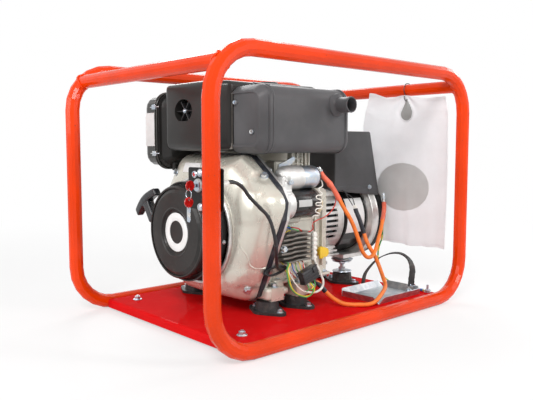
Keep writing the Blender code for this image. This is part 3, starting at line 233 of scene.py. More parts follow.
def copies(original, matrices):
    """Numbered copies of a piece, each with its own mesh, at these matrices. The original is removed."""
    made = []
    for i, matrix in enumerate(matrices):
        piece = bpy.data.objects.new(f"{original.name}_{i + 1}", original.data.copy())
        piece.data.name = piece.name
        bpy.context.scene.collection.objects.link(piece)
        made.append(place(piece, matrix))
    bpy.data.objects.remove(original)
    return made


def outlined(name, outline, depth):
    """A prism on an outline of (x, y) points, from z = 0 to depth."""
    piece = start("circle", name, vertices=len(outline), radius=1, fill_type="NGON")
    for corner, (x, y) in zip(piece.data.vertices, outline):
        corner.co = (x, y, 0)
    with Shaping(piece) as work:
        work.everything()
        work.push((0, 0, depth))
        work.outward(0)
    return piece


def turned(name, profile, steps=32, closed=False):
    """A shape spun about Z from (radius, height) points. A profile that ends on the axis closes itself."""
    profile = in_metres(profile)
    piece = start("circle", name, vertices=len(profile), radius=1, fill_type="NOTHING")
    for corner, (radius, height) in zip(piece.data.vertices, profile):
        corner.co = (radius, 0, height)
    with Shaping(piece) as work:
        if not closed:
            last = len(profile) - 1
            work.edges(lambda edge: {v.index for v in edge.verts} == {0, last})
            bpy.ops.mesh.delete(type="EDGE")
        work.everything()
        bpy.ops.mesh.spin(steps=steps, angle=2 * math.pi, center=(0, 0, 0), axis=(0, 0, 1))
        work.outward(1e-6)
    return smooth(piece)


def block(name, corners, edge=0.0, segments=2):
    """A box between two corners with rounded edges."""
    low, high = map(Vector, in_metres(corners))
    piece = start("cube", name, size=1, location=(low + high) / 2, scale=high - low)
    if edge:
        with Shaping(piece) as work:
            work.edges(lambda edge: True)
            work.bevel(edge, segments)
            work.outward(0)
    return smooth(piece)


def run(name, points, radius, steps=10, cyclic=False):
    """A round wire through these points, as a closed mesh."""
    points = in_metres(points)
    object_mode()
    bpy.ops.object.select_all(action="DESELECT")
    bpy.ops.curve.primitive_bezier_curve_add()
    piece = bpy.context.object
    curve = piece.data
    curve.splines.clear()
    spline = curve.splines.new("BEZIER")
    spline.bezier_points.add(len(points) - 1)
    for knot, point in zip(spline.bezier_points, points):
        knot.co = point
        knot.handle_left_type = knot.handle_right_type = "AUTO"
    spline.use_cyclic_u = cyclic
    curve.dimensions = "3D"
    curve.resolution_u = 5
    curve.bevel_depth = radius
    curve.bevel_resolution = max(1, (steps - 4) // 2)
    curve.use_fill_caps = not cyclic
    bpy.ops.object.convert(target="MESH")
    piece = bpy.context.object
    piece.name = piece.data.name = name
    piece.matrix_world = Matrix.Identity(4)
    with Shaping(piece) as work:
        work.outward(1e-6)
    return smooth(piece, 60)


def dressed(piece, finish, body="set", node=None):
    """Gives a piece its finish and its body, and hides the CAD node that it stands in for."""
    piece.data.materials.clear()
    piece.data.materials.append(FINISHES[finish])
    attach(piece, body)
    if node:
        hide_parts(node)
    return piece


def scatter(original, matrices, finish):
    """Copies of a piece at these matrices, each dressed in one finish."""
    for piece in copies(original, matrices):
        dressed(piece, finish)


def screw(name, width, height, washer=0.0, thick=0.0012, shank=0.0, round_head=False):
    """A hexagon or round headed screw on its washer, standing on z = 0."""
    shells = []
    base = 0.0
    if washer:
        ring = [(0, 0), (washer, 0), (washer, thick * 0.7), (washer - 0.0004, thick), (0, thick)]
        shells.append(turned(name + "_washer", ring, 20))
        base = thick
    if round_head:
        half = width / 2
        dome = [
            (half * out, base + height * up)
            for out, up in ((0, 0), (1, 0), (1, 0.35), (0.88, 0.68), (0.6, 0.92), (0.3, 1), (0, 1.02))
        ]
        shells.append(turned(name + "_head", dome, 18))
    else:
        head = start(
            "cylinder", name + "_head", vertices=6, radius=width / 2 / math.cos(math.pi / 6),
            depth=height, location=(0, 0, base + height / 2),
        )
        with Shaping(head) as work:
            work.facing(UP)
            work.inset(width * 0.07)
            work.move((0, 0, height * 0.12))
            work.inset(width * 0.2)
            work.push((0, 0, -height * 0.12))
        shells.append(smooth(head, 25))
    if shank:
        tip = [(0, base), (width * 0.27, base), (width * 0.27, base + height + shank)]
        tip += [(width * 0.22, base + height + shank * 1.1), (0, base + height + shank * 1.1)]
        shells.append(turned(name + "_shank", tip, 12))
    return join(name, *shells)


# Finishes.


class Reading:
    """A node's output that Python's own signs add, scale and compare."""

    def __init__(self, finish, socket):
        self.finish, self.socket = finish, socket

    def _sum(self, operation, *terms):
        return self.finish.node("ShaderNodeMath", {"operation": operation}, dict(enumerate(terms)))

    def __add__(self, other):
        return self._sum("ADD", self, other)

    __radd__ = __add__

    def __sub__(self, other):
        return self._sum("SUBTRACT", self, other)

    def __rsub__(self, other):
        return self._sum("SUBTRACT", other, self)

    def __mul__(self, other):
        return self._sum("MULTIPLY", self, other)

    __rmul__ = __mul__

    def wave(self):
        return self._sum("SINE", self)

    def between(self, low, high, first=0.0, last=1.0):
        """A smooth step from first to last as the reading goes from low to high."""
        return self.finish.node(
            "ShaderNodeMapRange", {"interpolation_type": "SMOOTHSTEP"},
            {0: self, 1: low, 2: high, 3: first, 4: last},
        )


class Finish:
    """A material on a Principled shader, built in metres on Object coordinates."""

    def __init__(self, name, **uniform):
        self.material = bpy.data.materials.new(name)
        self.material.use_nodes = True
        self.tree = self.material.node_tree
        self.shader = self.tree.nodes["Principled BSDF"]
        self._place = None
        self.set(**uniform)

    def node(self, kind, settings=None, sockets=None, result=0):
        made = self.tree.nodes.new(kind)
        for key, value in (settings or {}).items():
            setattr(made, key, value)
        for key, value in (sockets or {}).items():
            self.feed(made.inputs[key], value)
        return Reading(self, made.outputs[result])

    def feed(self, socket, value):
        if isinstance(value, Reading):
            self.tree.links.new(value.socket, socket)
        else:
            socket.default_value = value

    def set(self, **values):
        """Sets or links the shader's sockets: base_color=..., roughness=..."""
        names = {
            "base_color": "Base Color", "coat": "Coat Weight", "coat_roughness": "Coat Roughness",
            "specular": "Specular IOR Level", "subsurface": "Subsurface Weight",
            "transmission": "Transmission Weight",
        }
        for key, value in values.items():
            if key == "base_color" and isinstance(value, tuple):
                value = (*value[:3], 1.0)
            self.feed(self.shader.inputs[names.get(key, key.title())], value)
        return self

    def place(self):
        if self._place is None:
            self._place = self.node("ShaderNodeTexCoord", result="Object")
        return self._place

    def axis(self, index):
        """The X, Y or Z of the place, in metres."""
        return self.node("ShaderNodeSeparateXYZ", sockets={0: self.place()}, result=index)

    def stretched(self, scale, shift=(0, 0, 0)):
        return self.node(
            "ShaderNodeMapping", sockets={"Vector": self.place(), "Location": shift, "Scale": scale},
        )

    def noise(self, size, detail=3.0, rough=0.55, stretch=(1, 1, 1), shift=(0, 0, 0)):
        """Noise whose features are about this size in metres, from 0 to 1."""
        plain = stretch == (1, 1, 1) and shift == (0, 0, 0)
        at = self.place() if plain else self.stretched(stretch, shift)
        sockets = {"Vector": at, "Scale": 1 / size, "Detail": detail, "Roughness": rough}
        return self.node("ShaderNodeTexNoise", sockets=sockets)

    def mix(self, share, first, second):
        first, second = ((*c[:3], 1.0) if isinstance(c, tuple) else c for c in (first, second))
        return self.node("ShaderNodeMix", {"data_type": "RGBA"}, {0: share, 6: first, 7: second}, 2)

    def finished(self, colour, rough, bump, **more):
        """The material, with its colour, roughness and bump in place."""
        return self.set(base_color=colour, roughness=rough, normal=bump, **more).material

    def bump(self, height, depth, strength=1.0, under=None):
        """A bump whose height runs from 0 to 1 over this depth in metres."""
        sockets = {"Height": height, "Distance": depth, "Strength": strength}
        if under is not None:
            sockets["Normal"] = under
        return self.node("ShaderNodeBump", sockets=sockets)


def tint(colour, by):
    return tuple(max(0.0, min(1.0, part * by)) for part in colour[:3])


def dusty(finish, colour, amount=0.35, low=0.0, high=0.16):
    """A colour with dust that thickens towards the ground, and the mask of that dust."""
    height = finish.axis(2).between(low, high, 1.0, 0.12)
    patches = finish.noise(0.03, 6.0, 0.7).between(0.5, 0.8)
    mask = height * patches * amount
    return finish.mix(mask, colour, (0.36, 0.31, 0.25)), mask


def gloss_paint(
    name, colour, peel=0.00006, chip=(0.05, 0.03, 0.025), dust=0.3, deep=0.72, shine=0.16, coat=0.06
):
    """Powder coat: orange peel, small chips, fine scratches and settled dust."""
    made = Finish(name, metallic=0.0, coat=coat, coat_roughness=0.04, specular=shine)
    broad = made.noise(0.16, 3.0)
    shaded = made.mix(broad.between(0.3, 0.7), tint(colour, deep), colour)
    fine = made.noise(0.0035, 4.0, 0.7)
    shaded = made.mix(fine.between(0.35, 0.75) * 0.14, shaded, tint(colour, 1.25))
    chips = made.noise(0.007, 2.0, 0.4, shift=(0.3, 0.1, 0.7)).between(0.775, 0.79)
    shaded = made.mix(chips * 0.85, shaded, chip)
    shaded, dirt = dusty(made, shaded, dust)
    scratch = made.noise(0.02, 6.0, 0.75, stretch=(0.12, 1.4, 1.0)).between(0.6, 0.78)
    rough = 0.17 + broad * 0.09 + scratch * 0.13 + dirt * 0.75 + chips * 0.4
    peeled = made.noise(0.0022, 2.0, 0.5)
    bump = made.bump(peeled, peel, 0.6)
    bump = made.bump(1.0 - chips, 0.00012, 0.7, under=bump)
    return made.finished(shaded, rough, bump)


def satin_paint(
    name, colour, rough=0.38, grain=0.0009, depth=0.00007, wear=(0.12, 0.115, 0.11), dust=0.1, coat=0.0,
):
    """Satin or textured enamel with rubbed spots and a film of dust."""
    made = Finish(name, metallic=0.0, coat=coat, coat_roughness=0.2, specular=0.17)
    broad = made.noise(0.07, 4.0)
    shaded = made.mix(broad.between(0.3, 0.72), tint(colour, 0.88), tint(colour, 1.1))
    rubbed = made.noise(0.011, 6.0, 0.7, shift=(0.9, 0.2, 0.4)).between(0.71, 0.75)
    shaded = made.mix(rubbed * 0.5, shaded, wear)
    shaded, dirt = dusty(made, shaded, dust, 0.05, 0.5)
    streak = made.noise(0.03, 4.0, 0.6, stretch=(1.0, 1.0, 0.18))
    values = rough - 0.07 + broad * 0.1 + streak * 0.08 + dirt * 0.35
    bump = made.bump(made.noise(grain, 3.0, 0.6), depth, 0.7)
    return made.finished(shaded, values, bump)


def lacquer(name, colour, rough=0.24, metal=0.35, dust=0.02):
    """Silver engine lacquer over a casting: soft texture, oily smears and dust in the low spots."""
    made = Finish(name, coat=0.35, coat_roughness=0.09, specular=0.5)
    broad = made.noise(0.09, 4.0)
    shaded = made.mix(broad.between(0.3, 0.7), tint(colour, 0.94), tint(colour, 1.04))
    flake = made.noise(0.0012, 2.0, 0.8).between(0.4, 0.7)
    shaded = made.mix(flake * 0.16, shaded, tint(colour, 1.35))
    smear = made.noise(0.028, 6.0, 0.66, stretch=(1.0, 1.0, 0.35), shift=(0.2, 0.5, 0.1))
    smears = smear.between(0.56, 0.74)
    shaded = made.mix(smears * 0.07, shaded, (0.2, 0.17, 0.12))
    shaded, dirt = dusty(made, shaded, dust, 0.03, 0.3)
    values = rough + broad * 0.06 + smears * 0.12 + dirt * 0.4
    cast = made.noise(0.0028, 4.0, 0.6)
    bump = made.bump(cast, 0.00004, 0.5)
    return made.finished(shaded, values, bump, metallic=metal + flake * 0.15)


def casting(name, colour, rough=0.42, metal=0.85, grain=0.0016, depth=0.00022, stain=(0.13, 0.1, 0.075)):
    """As-cast metal: sand texture, tooling streaks and a stain in the pores."""
    made = Finish(name, specular=0.5)
    broad = made.noise(0.04, 5.0)
    shaded = made.mix(broad.between(0.3, 0.7), tint(colour, 0.76), tint(colour, 1.1))
    pores = made.noise(grain * 1.6, 5.0, 0.7).between(0.6, 0.76)
    shaded = made.mix(pores * 0.4, shaded, tint(colour, 0.4))
    stains = made.noise(0.024, 6.0, 0.7, shift=(0.4, 0.8, 0.3)).between(0.6, 0.76)
    shaded = made.mix(stains * 0.4, shaded, stain)
    values = rough + broad * 0.1 + pores * 0.16 + stains * 0.12
    bump = made.bump(made.noise(grain, 4.0, 0.65), depth, 0.7)
    return made.finished(shaded, values, bump, metallic=metal - stains * 0.4)


def plated(name, colour, rough=0.26, blue=(0.5, 0.58, 0.68), gold=(0.78, 0.7, 0.42), rust=0.25):
    """Zinc or nickel plate: faint passivation colours, brushed scratches, a few rust freckles."""
    made = Finish(name, specular=0.5)
    tide = made.noise(0.016, 3.0)
    shaded = made.mix(tide.between(0.35, 0.6), colour, blue)
    shaded = made.mix(tide.between(0.58, 0.8) * 0.35, shaded, gold)
    brushed = made.noise(0.0022, 5.0, 0.7, stretch=(1.0, 0.16, 1.0))
    shaded = made.mix(brushed.between(0.3, 0.7) * 0.25, shaded, tint(colour, 0.6))
    freckle = made.noise(0.0045, 4.0, 0.6, shift=(0.1, 0.9, 0.2)).between(0.71, 0.76)
    shaded = made.mix(freckle * rust, shaded, (0.24, 0.09, 0.03))
    values = rough + brushed * 0.14 + freckle * 0.3
    bump = made.bump(brushed, 0.00004, 0.5)
    return made.finished(shaded, values, bump, metallic=0.95 - freckle * 0.5)


def moulded(name, colour, rough=0.42, grain=0.0008, depth=0.00006, bleach=1.25, dust=0.08, coat=0.0):
    """Moulded plastic: fine spark texture, sun bleaching and handling shine."""
    made = Finish(name, metallic=0.0, specular=0.45, coat=coat, coat_roughness=0.12)
    broad = made.noise(0.035, 4.0)
    shaded = made.mix(broad.between(0.3, 0.75), colour, tint(colour, bleach))
    shaded, dirt = dusty(made, shaded, dust, 0.03, 0.5)
    handled = made.noise(0.018, 4.0, 0.6, shift=(0.6, 0.3, 0.5)).between(0.45, 0.7)
    values = rough + broad * 0.08 - handled * 0.09 + dirt * 0.3
    bump = made.bump(made.noise(grain, 2.0, 0.5), depth, 0.6)
    return made.finished(shaded, values, bump)


def rubbery(name, colour, rough=0.62, bloom=(0.16, 0.15, 0.14), grain=0.0014):
    """Moulded rubber with a grey bloom and scuffs."""
    made = Finish(name, metallic=0.0, specular=0.35)
    broad = made.noise(0.022, 5.0, 0.65)
    shaded = made.mix(broad.between(0.45, 0.8) * 0.5, colour, bloom)
    shaded, dirt = dusty(made, shaded, 0.16, 0.0, 0.3)
    values = rough + broad * 0.14 - made.noise(0.009, 3.0).between(0.5, 0.7) * 0.12 + dirt * 0.1
    bump = made.bump(made.noise(grain, 3.0, 0.6), 0.0001, 0.6)
    return made.finished(shaded, values, bump)


def cable_jacket(name, colour, rough=0.4, dirt_colour=(0.1, 0.06, 0.03)):
    """Cable rubber: fine lengthwise ribbing, grime patches and a soft shine."""
    made = Finish(name, metallic=0.0, specular=0.4)
    broad = made.noise(0.02, 4.0)
    shaded = made.mix(broad.between(0.3, 0.7), tint(colour, 0.82), tint(colour, 1.12))
    grime = made.noise(0.012, 5.0, 0.7, shift=(0.2, 0.2, 0.9)).between(0.58, 0.75)
    shaded = made.mix(grime * 0.3, shaded, dirt_colour)
    values = rough + broad * 0.1 + grime * 0.2
    bump = made.bump(made.noise(0.0011, 3.0, 0.6), 0.00006, 0.6)
    return made.finished(shaded, values, bump)


def blank_label(name, colour, rough=0.42):
    """An empty vinyl label: one colour, slight creases, rubbed corners and a matt film."""
    made = Finish(name, metallic=0.0, specular=0.45)
    fade = made.noise(0.03, 4.0)
    shaded = made.mix(fade.between(0.3, 0.75), tint(colour, 0.9), colour)
    specks = made.noise(0.0035, 4.0, 0.7).between(0.68, 0.74)
    shaded = made.mix(specks * 0.18, shaded, tint(colour, 0.45))
    crease = made.noise(0.018, 3.0, 0.5, stretch=(1.0, 0.4, 1.0))
    bump = made.bump(crease, 0.0003, 0.35)
    return made.finished(shaded, rough + fade * 0.12, bump)


def lens_plastic(name, colour, rough=0.1):
    """Clear coloured plastic: some light passes, with fine scuffs in the gloss."""
    made = Finish(name, metallic=0.0, specular=0.5, coat=0.5, coat_roughness=0.05, transmission=0.25)
    depth = made.noise(0.006, 3.0)
    shaded = made.mix(depth.between(0.3, 0.7), tint(colour, 0.7), tint(colour, 1.2))
    scuff = made.noise(0.003, 5.0, 0.7).between(0.55, 0.75)
    bump = made.bump(depth, 0.00005, 0.4)
    return made.finished(shaded, rough + scuff * 0.22, bump)


def film(name, colour, share=0.45):
    """Thin milky film: light comes through it, with fine crinkles and cloudy patches."""
    made = Finish(name, metallic=0.0, specular=0.4, subsurface=0.0)
    cloud = made.noise(0.05, 4.0)
    shaded = made.mix(cloud.between(0.3, 0.7), tint(colour, 0.93), colour)
    crinkle = made.noise(0.011, 5.0, 0.62, stretch=(1.0, 1.6, 0.7))
    values = 0.3 + cloud * 0.12 + crinkle * 0.1
    bump = made.bump(crinkle, 0.0009, 0.55)
    made.set(base_color=shaded, roughness=values, normal=bump)
    through = made.node(
        "ShaderNodeBsdfTranslucent", sockets={"Color": (*tint(colour, 0.97), 1.0), "Normal": bump},
    )
    both = made.node(
        "ShaderNodeMixShader", sockets={0: share, 1: Reading(made, made.shader.outputs[0]), 2: through},
    )
    made.tree.links.new(both.socket, made.tree.nodes["Material Output"].inputs["Surface"])
    return made.material


# Every finish of the set by its name, filled by make_finishes.
FINISHES = {}


def make_finishes(colours):
    def keep(name, maker, colour, *values, **more):
        FINISHES[name] = maker(name, tuple(colour), *values, **more)

    keep("frame_paint", gloss_paint, colours.frame, dust=0.06, deep=0.8, shine=0.12, coat=0.2)
    keep("plate_paint", gloss_paint, colours.plate, peel=0.00003, dust=0.05, deep=0.9, shine=0.0, coat=0.06)
    keep("silver_lacquer", lacquer, colours.lacquer)
    keep("cream_casting", lacquer, (0.62, 0.6, 0.52), 0.34, 0.2, 0.3)
    keep("bright_casting", casting, (0.68, 0.68, 0.66))
    keep("grey_casting", casting, (0.2, 0.185, 0.165), 0.5, 0.6)
    keep("dull_iron", casting, (0.16, 0.155, 0.15), 0.55, 0.6, 0.002, 0.0003)
    keep("zinc_plate", plated, (0.66, 0.67, 0.66))
    keep("nickel_plate", plated, (0.72, 0.72, 0.7), 0.14, rust=0.05)
    keep("galvanised", plated, (0.6, 0.62, 0.63), 0.36, (0.44, 0.48, 0.52), (0.6, 0.58, 0.5), 0.3)
    keep("turned_steel", plated, (0.5, 0.49, 0.47), 0.3, rust=0.3)
    keep("charcoal_paint", satin_paint, (0.021, 0.02, 0.019), 0.32, coat=0.15)
    keep("muffler_paint", satin_paint, (0.095, 0.095, 0.099), 0.36, 0.0012, 0.00008, (0.1, 0.08, 0.06), 0.08)
    keep("cleaner_paint", satin_paint, (0.022, 0.021, 0.02), 0.3, coat=0.2)
    keep("cap_paint", satin_paint, (0.022, 0.022, 0.018), 0.16, depth=0.00002, coat=0.6)
    keep("box_paint", satin_paint, (0.078, 0.079, 0.082), 0.4, 0.0011, 0.0001, dust=0.04)
    keep("panel_paint", satin_paint, (0.01, 0.01, 0.01), 0.42, dust=0.05)
    keep("stator_paint", satin_paint, (0.008, 0.0078, 0.0078), 0.2, coat=0.35, dust=0.04)
    keep("black_plastic", moulded, (0.018, 0.018, 0.02), 0.36)
    keep("grip_plastic", moulded, (0.014, 0.015, 0.018), 0.26, coat=0.2)
    keep("grey_plastic", moulded, (0.3, 0.3, 0.29), 0.4, bleach=1.15)
    keep("white_plastic", moulded, (0.76, 0.75, 0.7), 0.38, bleach=1.05)
    keep("beige_plastic", moulded, (0.55, 0.47, 0.3), 0.45, bleach=1.1)
    keep("yellow_plastic", moulded, (0.78, 0.52, 0.03), 0.32, bleach=1.1)
    keep("blue_plastic", moulded, (0.03, 0.16, 0.5), 0.34, bleach=1.2)
    keep("red_plastic", lens_plastic, (0.62, 0.015, 0.012))
    keep("mount_rubber", rubbery, (0.02, 0.02, 0.021), 0.46)
    keep("seal_rubber", rubbery, (0.014, 0.016, 0.024), 0.42)
    keep("strap_rubber", rubbery, (0.018, 0.018, 0.018), 0.5)
    keep("orange_jacket", cable_jacket, colours.cable)
    keep("salmon_sleeve", cable_jacket, (0.82, 0.16, 0.09), 0.34)
    keep("red_wire", cable_jacket, (0.6, 0.025, 0.015), 0.3)
    keep("black_wire", cable_jacket, (0.018, 0.018, 0.02), 0.34)
    keep("white_wire", cable_jacket, (0.78, 0.76, 0.7), 0.36, (0.3, 0.26, 0.2))
    keep("yellow_wire", cable_jacket, (0.75, 0.56, 0.04), 0.34)
    keep("green_wire", cable_jacket, (0.05, 0.32, 0.07), 0.34)
    keep("blue_wire", cable_jacket, (0.03, 0.12, 0.45), 0.34)
    keep("rope_fibre", cable_jacket, (0.05, 0.05, 0.052), 0.7)
    keep("blank_white", blank_label, colours.label)
    keep("blank_silver", blank_label, (0.5, 0.5, 0.49), 0.32)
    keep("milky_film", film, colours.film)
    keep("blank_film", film, colours.label, 0.3)
    # Near-black finish of the discs that stand for painted shade inside the intake and the outlet.
    keep("socket_black", moulded, (0.006, 0.006, 0.006), 0.6, dust=0.1)
    earth = Finish("earth_stripe", metallic=0.0, specular=0.4)
    spiral = (earth.axis(2) * 260.0 + earth.axis(0) * 180.0 + earth.axis(1) * 220.0).wave()
    striped = earth.mix(spiral.between(-0.1, 0.1), (0.06, 0.36, 0.06), (0.72, 0.62, 0.04))
    grime = earth.noise(0.012, 5.0, 0.7).between(0.55, 0.75)
    earth.set(
        base_color=earth.mix(grime * 0.35, striped, (0.1, 0.08, 0.05)), roughness=0.36 + grime * 0.25,
        normal=earth.bump(earth.noise(0.001, 3.0), 0.00006, 0.6),
    )
    FINISHES["earth_stripe"] = earth.material


# User's values.


def colour_value(name, description, default):
    return bpy.props.FloatVectorProperty(
        name=name, description=description, default=default, size=3, min=0, max=1, subtype="COLOR",
    )


def length_value(name, description, default):
    return bpy.props.FloatProperty(
        name=name, description=description, default=default, min=0.0001, max=0.5, unit="LENGTH", precision=4,
    )


class WelderColours(bpy.types.PropertyGroup):
    frame: colour_value("Frame", "Powder coat of the tube frame", (0.76, 0.045, 0.001))
    plate: colour_value("Base plate", "Gloss paint of the base plate", (0.64, 0.008, 0.009))
    lacquer: colour_value("Lacquer", "Silver lacquer of the engine", (0.62, 0.6, 0.52))
    cable: colour_value("Cable", "Jacket of the two heavy cables", (0.85, 0.2, 0.03))
    film: colour_value("Bag film", "Milky film of the document bag", (0.93, 0.93, 0.94))
    label: colour_value("Blank labels", "Neutral colour of every empty label", (0.8, 0.8, 0.79))


class WelderSizes(bpy.types.PropertyGroup):
    plate_bolt: length_value("Plate bolt", "Width across the flats of the plate bolts", 0.013)
    label: length_value("Label thickness", "Thickness of each blank label", 0.0005)
    bead: length_value("Weld bead", "Radius of the weld beads on the frame", 0.0028)
    bag_wave: length_value("Bag waves", "Depth of the waves in the document bag", 0.006)


# CAD finishes.

CAD_FINISHES = {
    "frame_paint": "near_side_loop far_side_loop front_cross_bar rear_cross_bar",
    "plate_paint": "front_cross_rail rear_cross_rail base_plate",
    "mount_rubber": "engine_mount_1 engine_mount_2 engine_mount_3 engine_mount_4"
    " alternator_mount_1 alternator_mount_2",
    "strap_rubber": "battery_strap",
    "seal_rubber": "housing_seal",
    "galvanised": "battery_tray",
    "zinc_plate": "earth_stud solenoid speed_lever",
    "silver_lacquer": "crankcase fan_housing",
    "cream_casting": "cylinder cylinder_head rocker_cover injection_pump",
    "bright_casting": "alternator_front_bell alternator_rear_bell starter_nose back_plate",
    "grey_casting": "regulator",
    "dull_iron": "flywheel piston",
    "turned_steel": "crankshaft alternator_rotor starter_pinion",
    "nickel_plate": "key_ring key_switch",
    "charcoal_paint": "recoil_cover",
    "muffler_paint": "muffler muffler_end_guard",
    "cleaner_paint": "air_cleaner_box air_cleaner_can",
    "cap_paint": "air_cleaner_cap",
    "box_paint": "control_box",
    "panel_paint": "key_panel alternator_rear_cover fuel_tank",
    "stator_paint": "stator starter_motor",
    "black_plastic": "recoil_reel fuel_cap key_loom",
    "grip_plastic": "recoil_handle",
    "yellow_plastic": "dipstick",
    "red_plastic": "ignition_key spare_key",
    "orange_jacket": "starter_cable output_cable",
    "earth_stripe": "earth_wire",
    "milky_film": "document_bag",
}


ENGINE_MOUNTS = [(x, y) for x in (-0.122, -0.03) for y in (-0.1, 0.18)]


class WELDER_OT_finishes(bpy.types.Operator):
    """Make every finish and put the right one on each CAD part"""

    bl_idname = "welder.finishes"
    bl_label = "Finishes of the CAD parts"

    def execute(self, context):
        make_finishes(context.scene.welder_colours)
        for finish, names in CAD_FINISHES.items():
            for name in names.split():
                for holder in NODES[name].material_slots:
                    holder.link = "OBJECT"
                    holder.material = FINISHES[finish]
        return {"FINISHED"}


# Fan housing and recoil starter.

CRANK = Vector((0.0, 0.045, 0.208))
LIP_R = 0.1225
LIP_X = -0.2086
HOUSING_BACK = -0.1527
HOUSING_CORNERS = (
    (-0.075, 0.385), (-0.198, 0.288), (-0.092, 0.052), (0.145, 0.052), (0.218, 0.288), (0.15, 0.385),
)
HOUSING_BOLTS = ((-0.13, 0.339), (-0.096, 0.083), (0.15, 0.34), (0.135, 0.083))
HOUSING_STEPS = 168
HOUSING_RINGS = 18


def rounded_outline(corners, radius, per_corner=8):
    """The corners' outline with each corner rounded, as points."""
    points = []
    count = len(corners)
    for i, corner in enumerate(corners):
        here = Vector(corner)
        before = (Vector(corners[i - 1]) - here).normalized()
        after = (Vector(corners[(i + 1) % count]) - here).normalized()
        half = before.angle(after) / 2
        reach = radius / math.tan(half)
        centre = here + (before + after).normalized() * radius / math.sin(half)
        first, last = here + before * reach - centre, here + after * reach - centre
        turn = first.angle_signed(last)
        for k in range(per_corner + 1):
            spot = first.copy()
            spot.rotate(Matrix.Rotation(-turn * k / per_corner, 2))
            points.append(centre + spot)
    return points


def reach_of(outline, centre, angle):
    """How far the outline is from a centre, at an angle."""
    way = Vector((math.cos(angle), math.sin(angle)))
    best = 0.0
    for i, first in enumerate(outline):
        edge = outline[(i + 1) % len(outline)] - first
        cross = way.x * edge.y - way.y * edge.x
        if abs(cross) < 1e-12:
            continue
        off = first - centre
        along = (off.x * edge.y - off.y * edge.x) / cross
        share = (off.x * way.y - off.y * way.x) / cross
        if along > 0 and -1e-9 <= share <= 1 + 1e-9:
            best = max(best, along)
    return best


def soft_step(value, low, high):
    share = max(0.0, min(1.0, (value - low) / (high - low)))
    return share * share * (3 - 2 * share)


HOUSING_OUTLINE = rounded_outline(HOUSING_CORNERS, 0.03)
HOUSING_CENTRE = Vector((CRANK.y, CRANK.z))
HOUSING_REACH = [
    reach_of(HOUSING_OUTLINE, HOUSING_CENTRE, 2 * math.pi * i / HOUSING_STEPS)
    for i in range(HOUSING_STEPS)
]


def housing_reach(angle):
    spot = angle / (2 * math.pi) * HOUSING_STEPS
    low = math.floor(spot)
    share = spot - low
    return (
        HOUSING_REACH[low % HOUSING_STEPS] * (1 - share) + HOUSING_REACH[(low + 1) % HOUSING_STEPS] * share
    )


def embossed(y, z):
    """How far the pressed panels and bolt bosses stand out of the shell, in metres."""
    height = 0.0
    panel = soft_step(y, -0.152, -0.143) * (1 - soft_step(y, -0.104, -0.094))
    height += 0.0035 * panel * soft_step(z, 0.232, 0.244) * (1 - soft_step(z, 0.306, 0.318))
    low = soft_step(y, -0.128, -0.118) * (1 - soft_step(y, -0.06, -0.045))
    height += 0.003 * low * soft_step(z, 0.085, 0.098) * (1 - soft_step(z, 0.12, 0.14))
    far = soft_step(y, 0.165, 0.176) * (1 - soft_step(y, 0.198, 0.206))
    height += 0.0035 * far * soft_step(z, 0.15, 0.165) * (1 - soft_step(z, 0.26, 0.275))
    for bolt_y, bolt_z in HOUSING_BOLTS:
        gap = math.hypot(y - bolt_y, z - bolt_z)
        height -= 0.003 * (1 - soft_step(gap, 0.01, 0.016))
    along = Vector((y + 0.058, z - 0.388))
    way = Vector((-0.072, -0.049)).normalized()
    share = along.dot(way)
    ridge = math.exp(-((along - way * share).length / 0.005) ** 2)
    height += 0.0035 * ridge * soft_step(share, 0.0, 0.02) * (1 - soft_step(share, 0.062, 0.076))
    return height


def housing_point(angle, share, lift=0.0):
    """A point of the shell: share 0 is at the mouth and 1 at the rear edge."""
    reach = housing_reach(angle)
    turn = share * math.pi / 2
    radius = LIP_R + (reach - LIP_R) * math.sin(turn) ** 0.92
    along = LIP_X + (HOUSING_BACK - LIP_X) * (1 - math.cos(turn)) ** 1.15
    y = HOUSING_CENTRE.x + radius * math.cos(angle)
    z = HOUSING_CENTRE.y + radius * math.sin(angle)
    stand = embossed(y, z) * (1 - soft_step(share, 0.9, 1.0)) * soft_step(share, 0.0, 0.08) + lift
    out = math.sin(turn)
    return Vector(
        (along - stand * math.cos(turn), y + stand * out * math.cos(angle), z + stand * out * math.sin(angle))
    )


def on_housing(y, z, lift=0.0):
    """The shell's point over (y, z), and the way that it faces there."""
    angle = math.atan2(z - HOUSING_CENTRE.y, y - HOUSING_CENTRE.x) % (2 * math.pi)
    wanted = math.hypot(y - HOUSING_CENTRE.x, z - HOUSING_CENTRE.y)
    low, high = 0.0, 1.0
    for _ in range(30):
        middle = (low + high) / 2
        spot = housing_point(angle, middle)
        if math.hypot(spot.y - HOUSING_CENTRE.x, spot.z - HOUSING_CENTRE.y) < wanted:
            low = middle
        else:
            high = middle
    spot = housing_point(angle, low, lift)
    beside = housing_point(angle + 0.03, low, lift) - spot
    onward = housing_point(angle, min(1.0, low + 0.03), lift) - spot
    way = beside.cross(onward).normalized()
    return spot, way if way.x < 0 else -way


def face_recoil_side(sheet):
    """Turns a sheet's normals towards the recoil starter's side, if they don't look there yet."""
    if sum(face.normal.x for face in sheet.data.polygons) > 0:
        sheet.data.flip_normals()


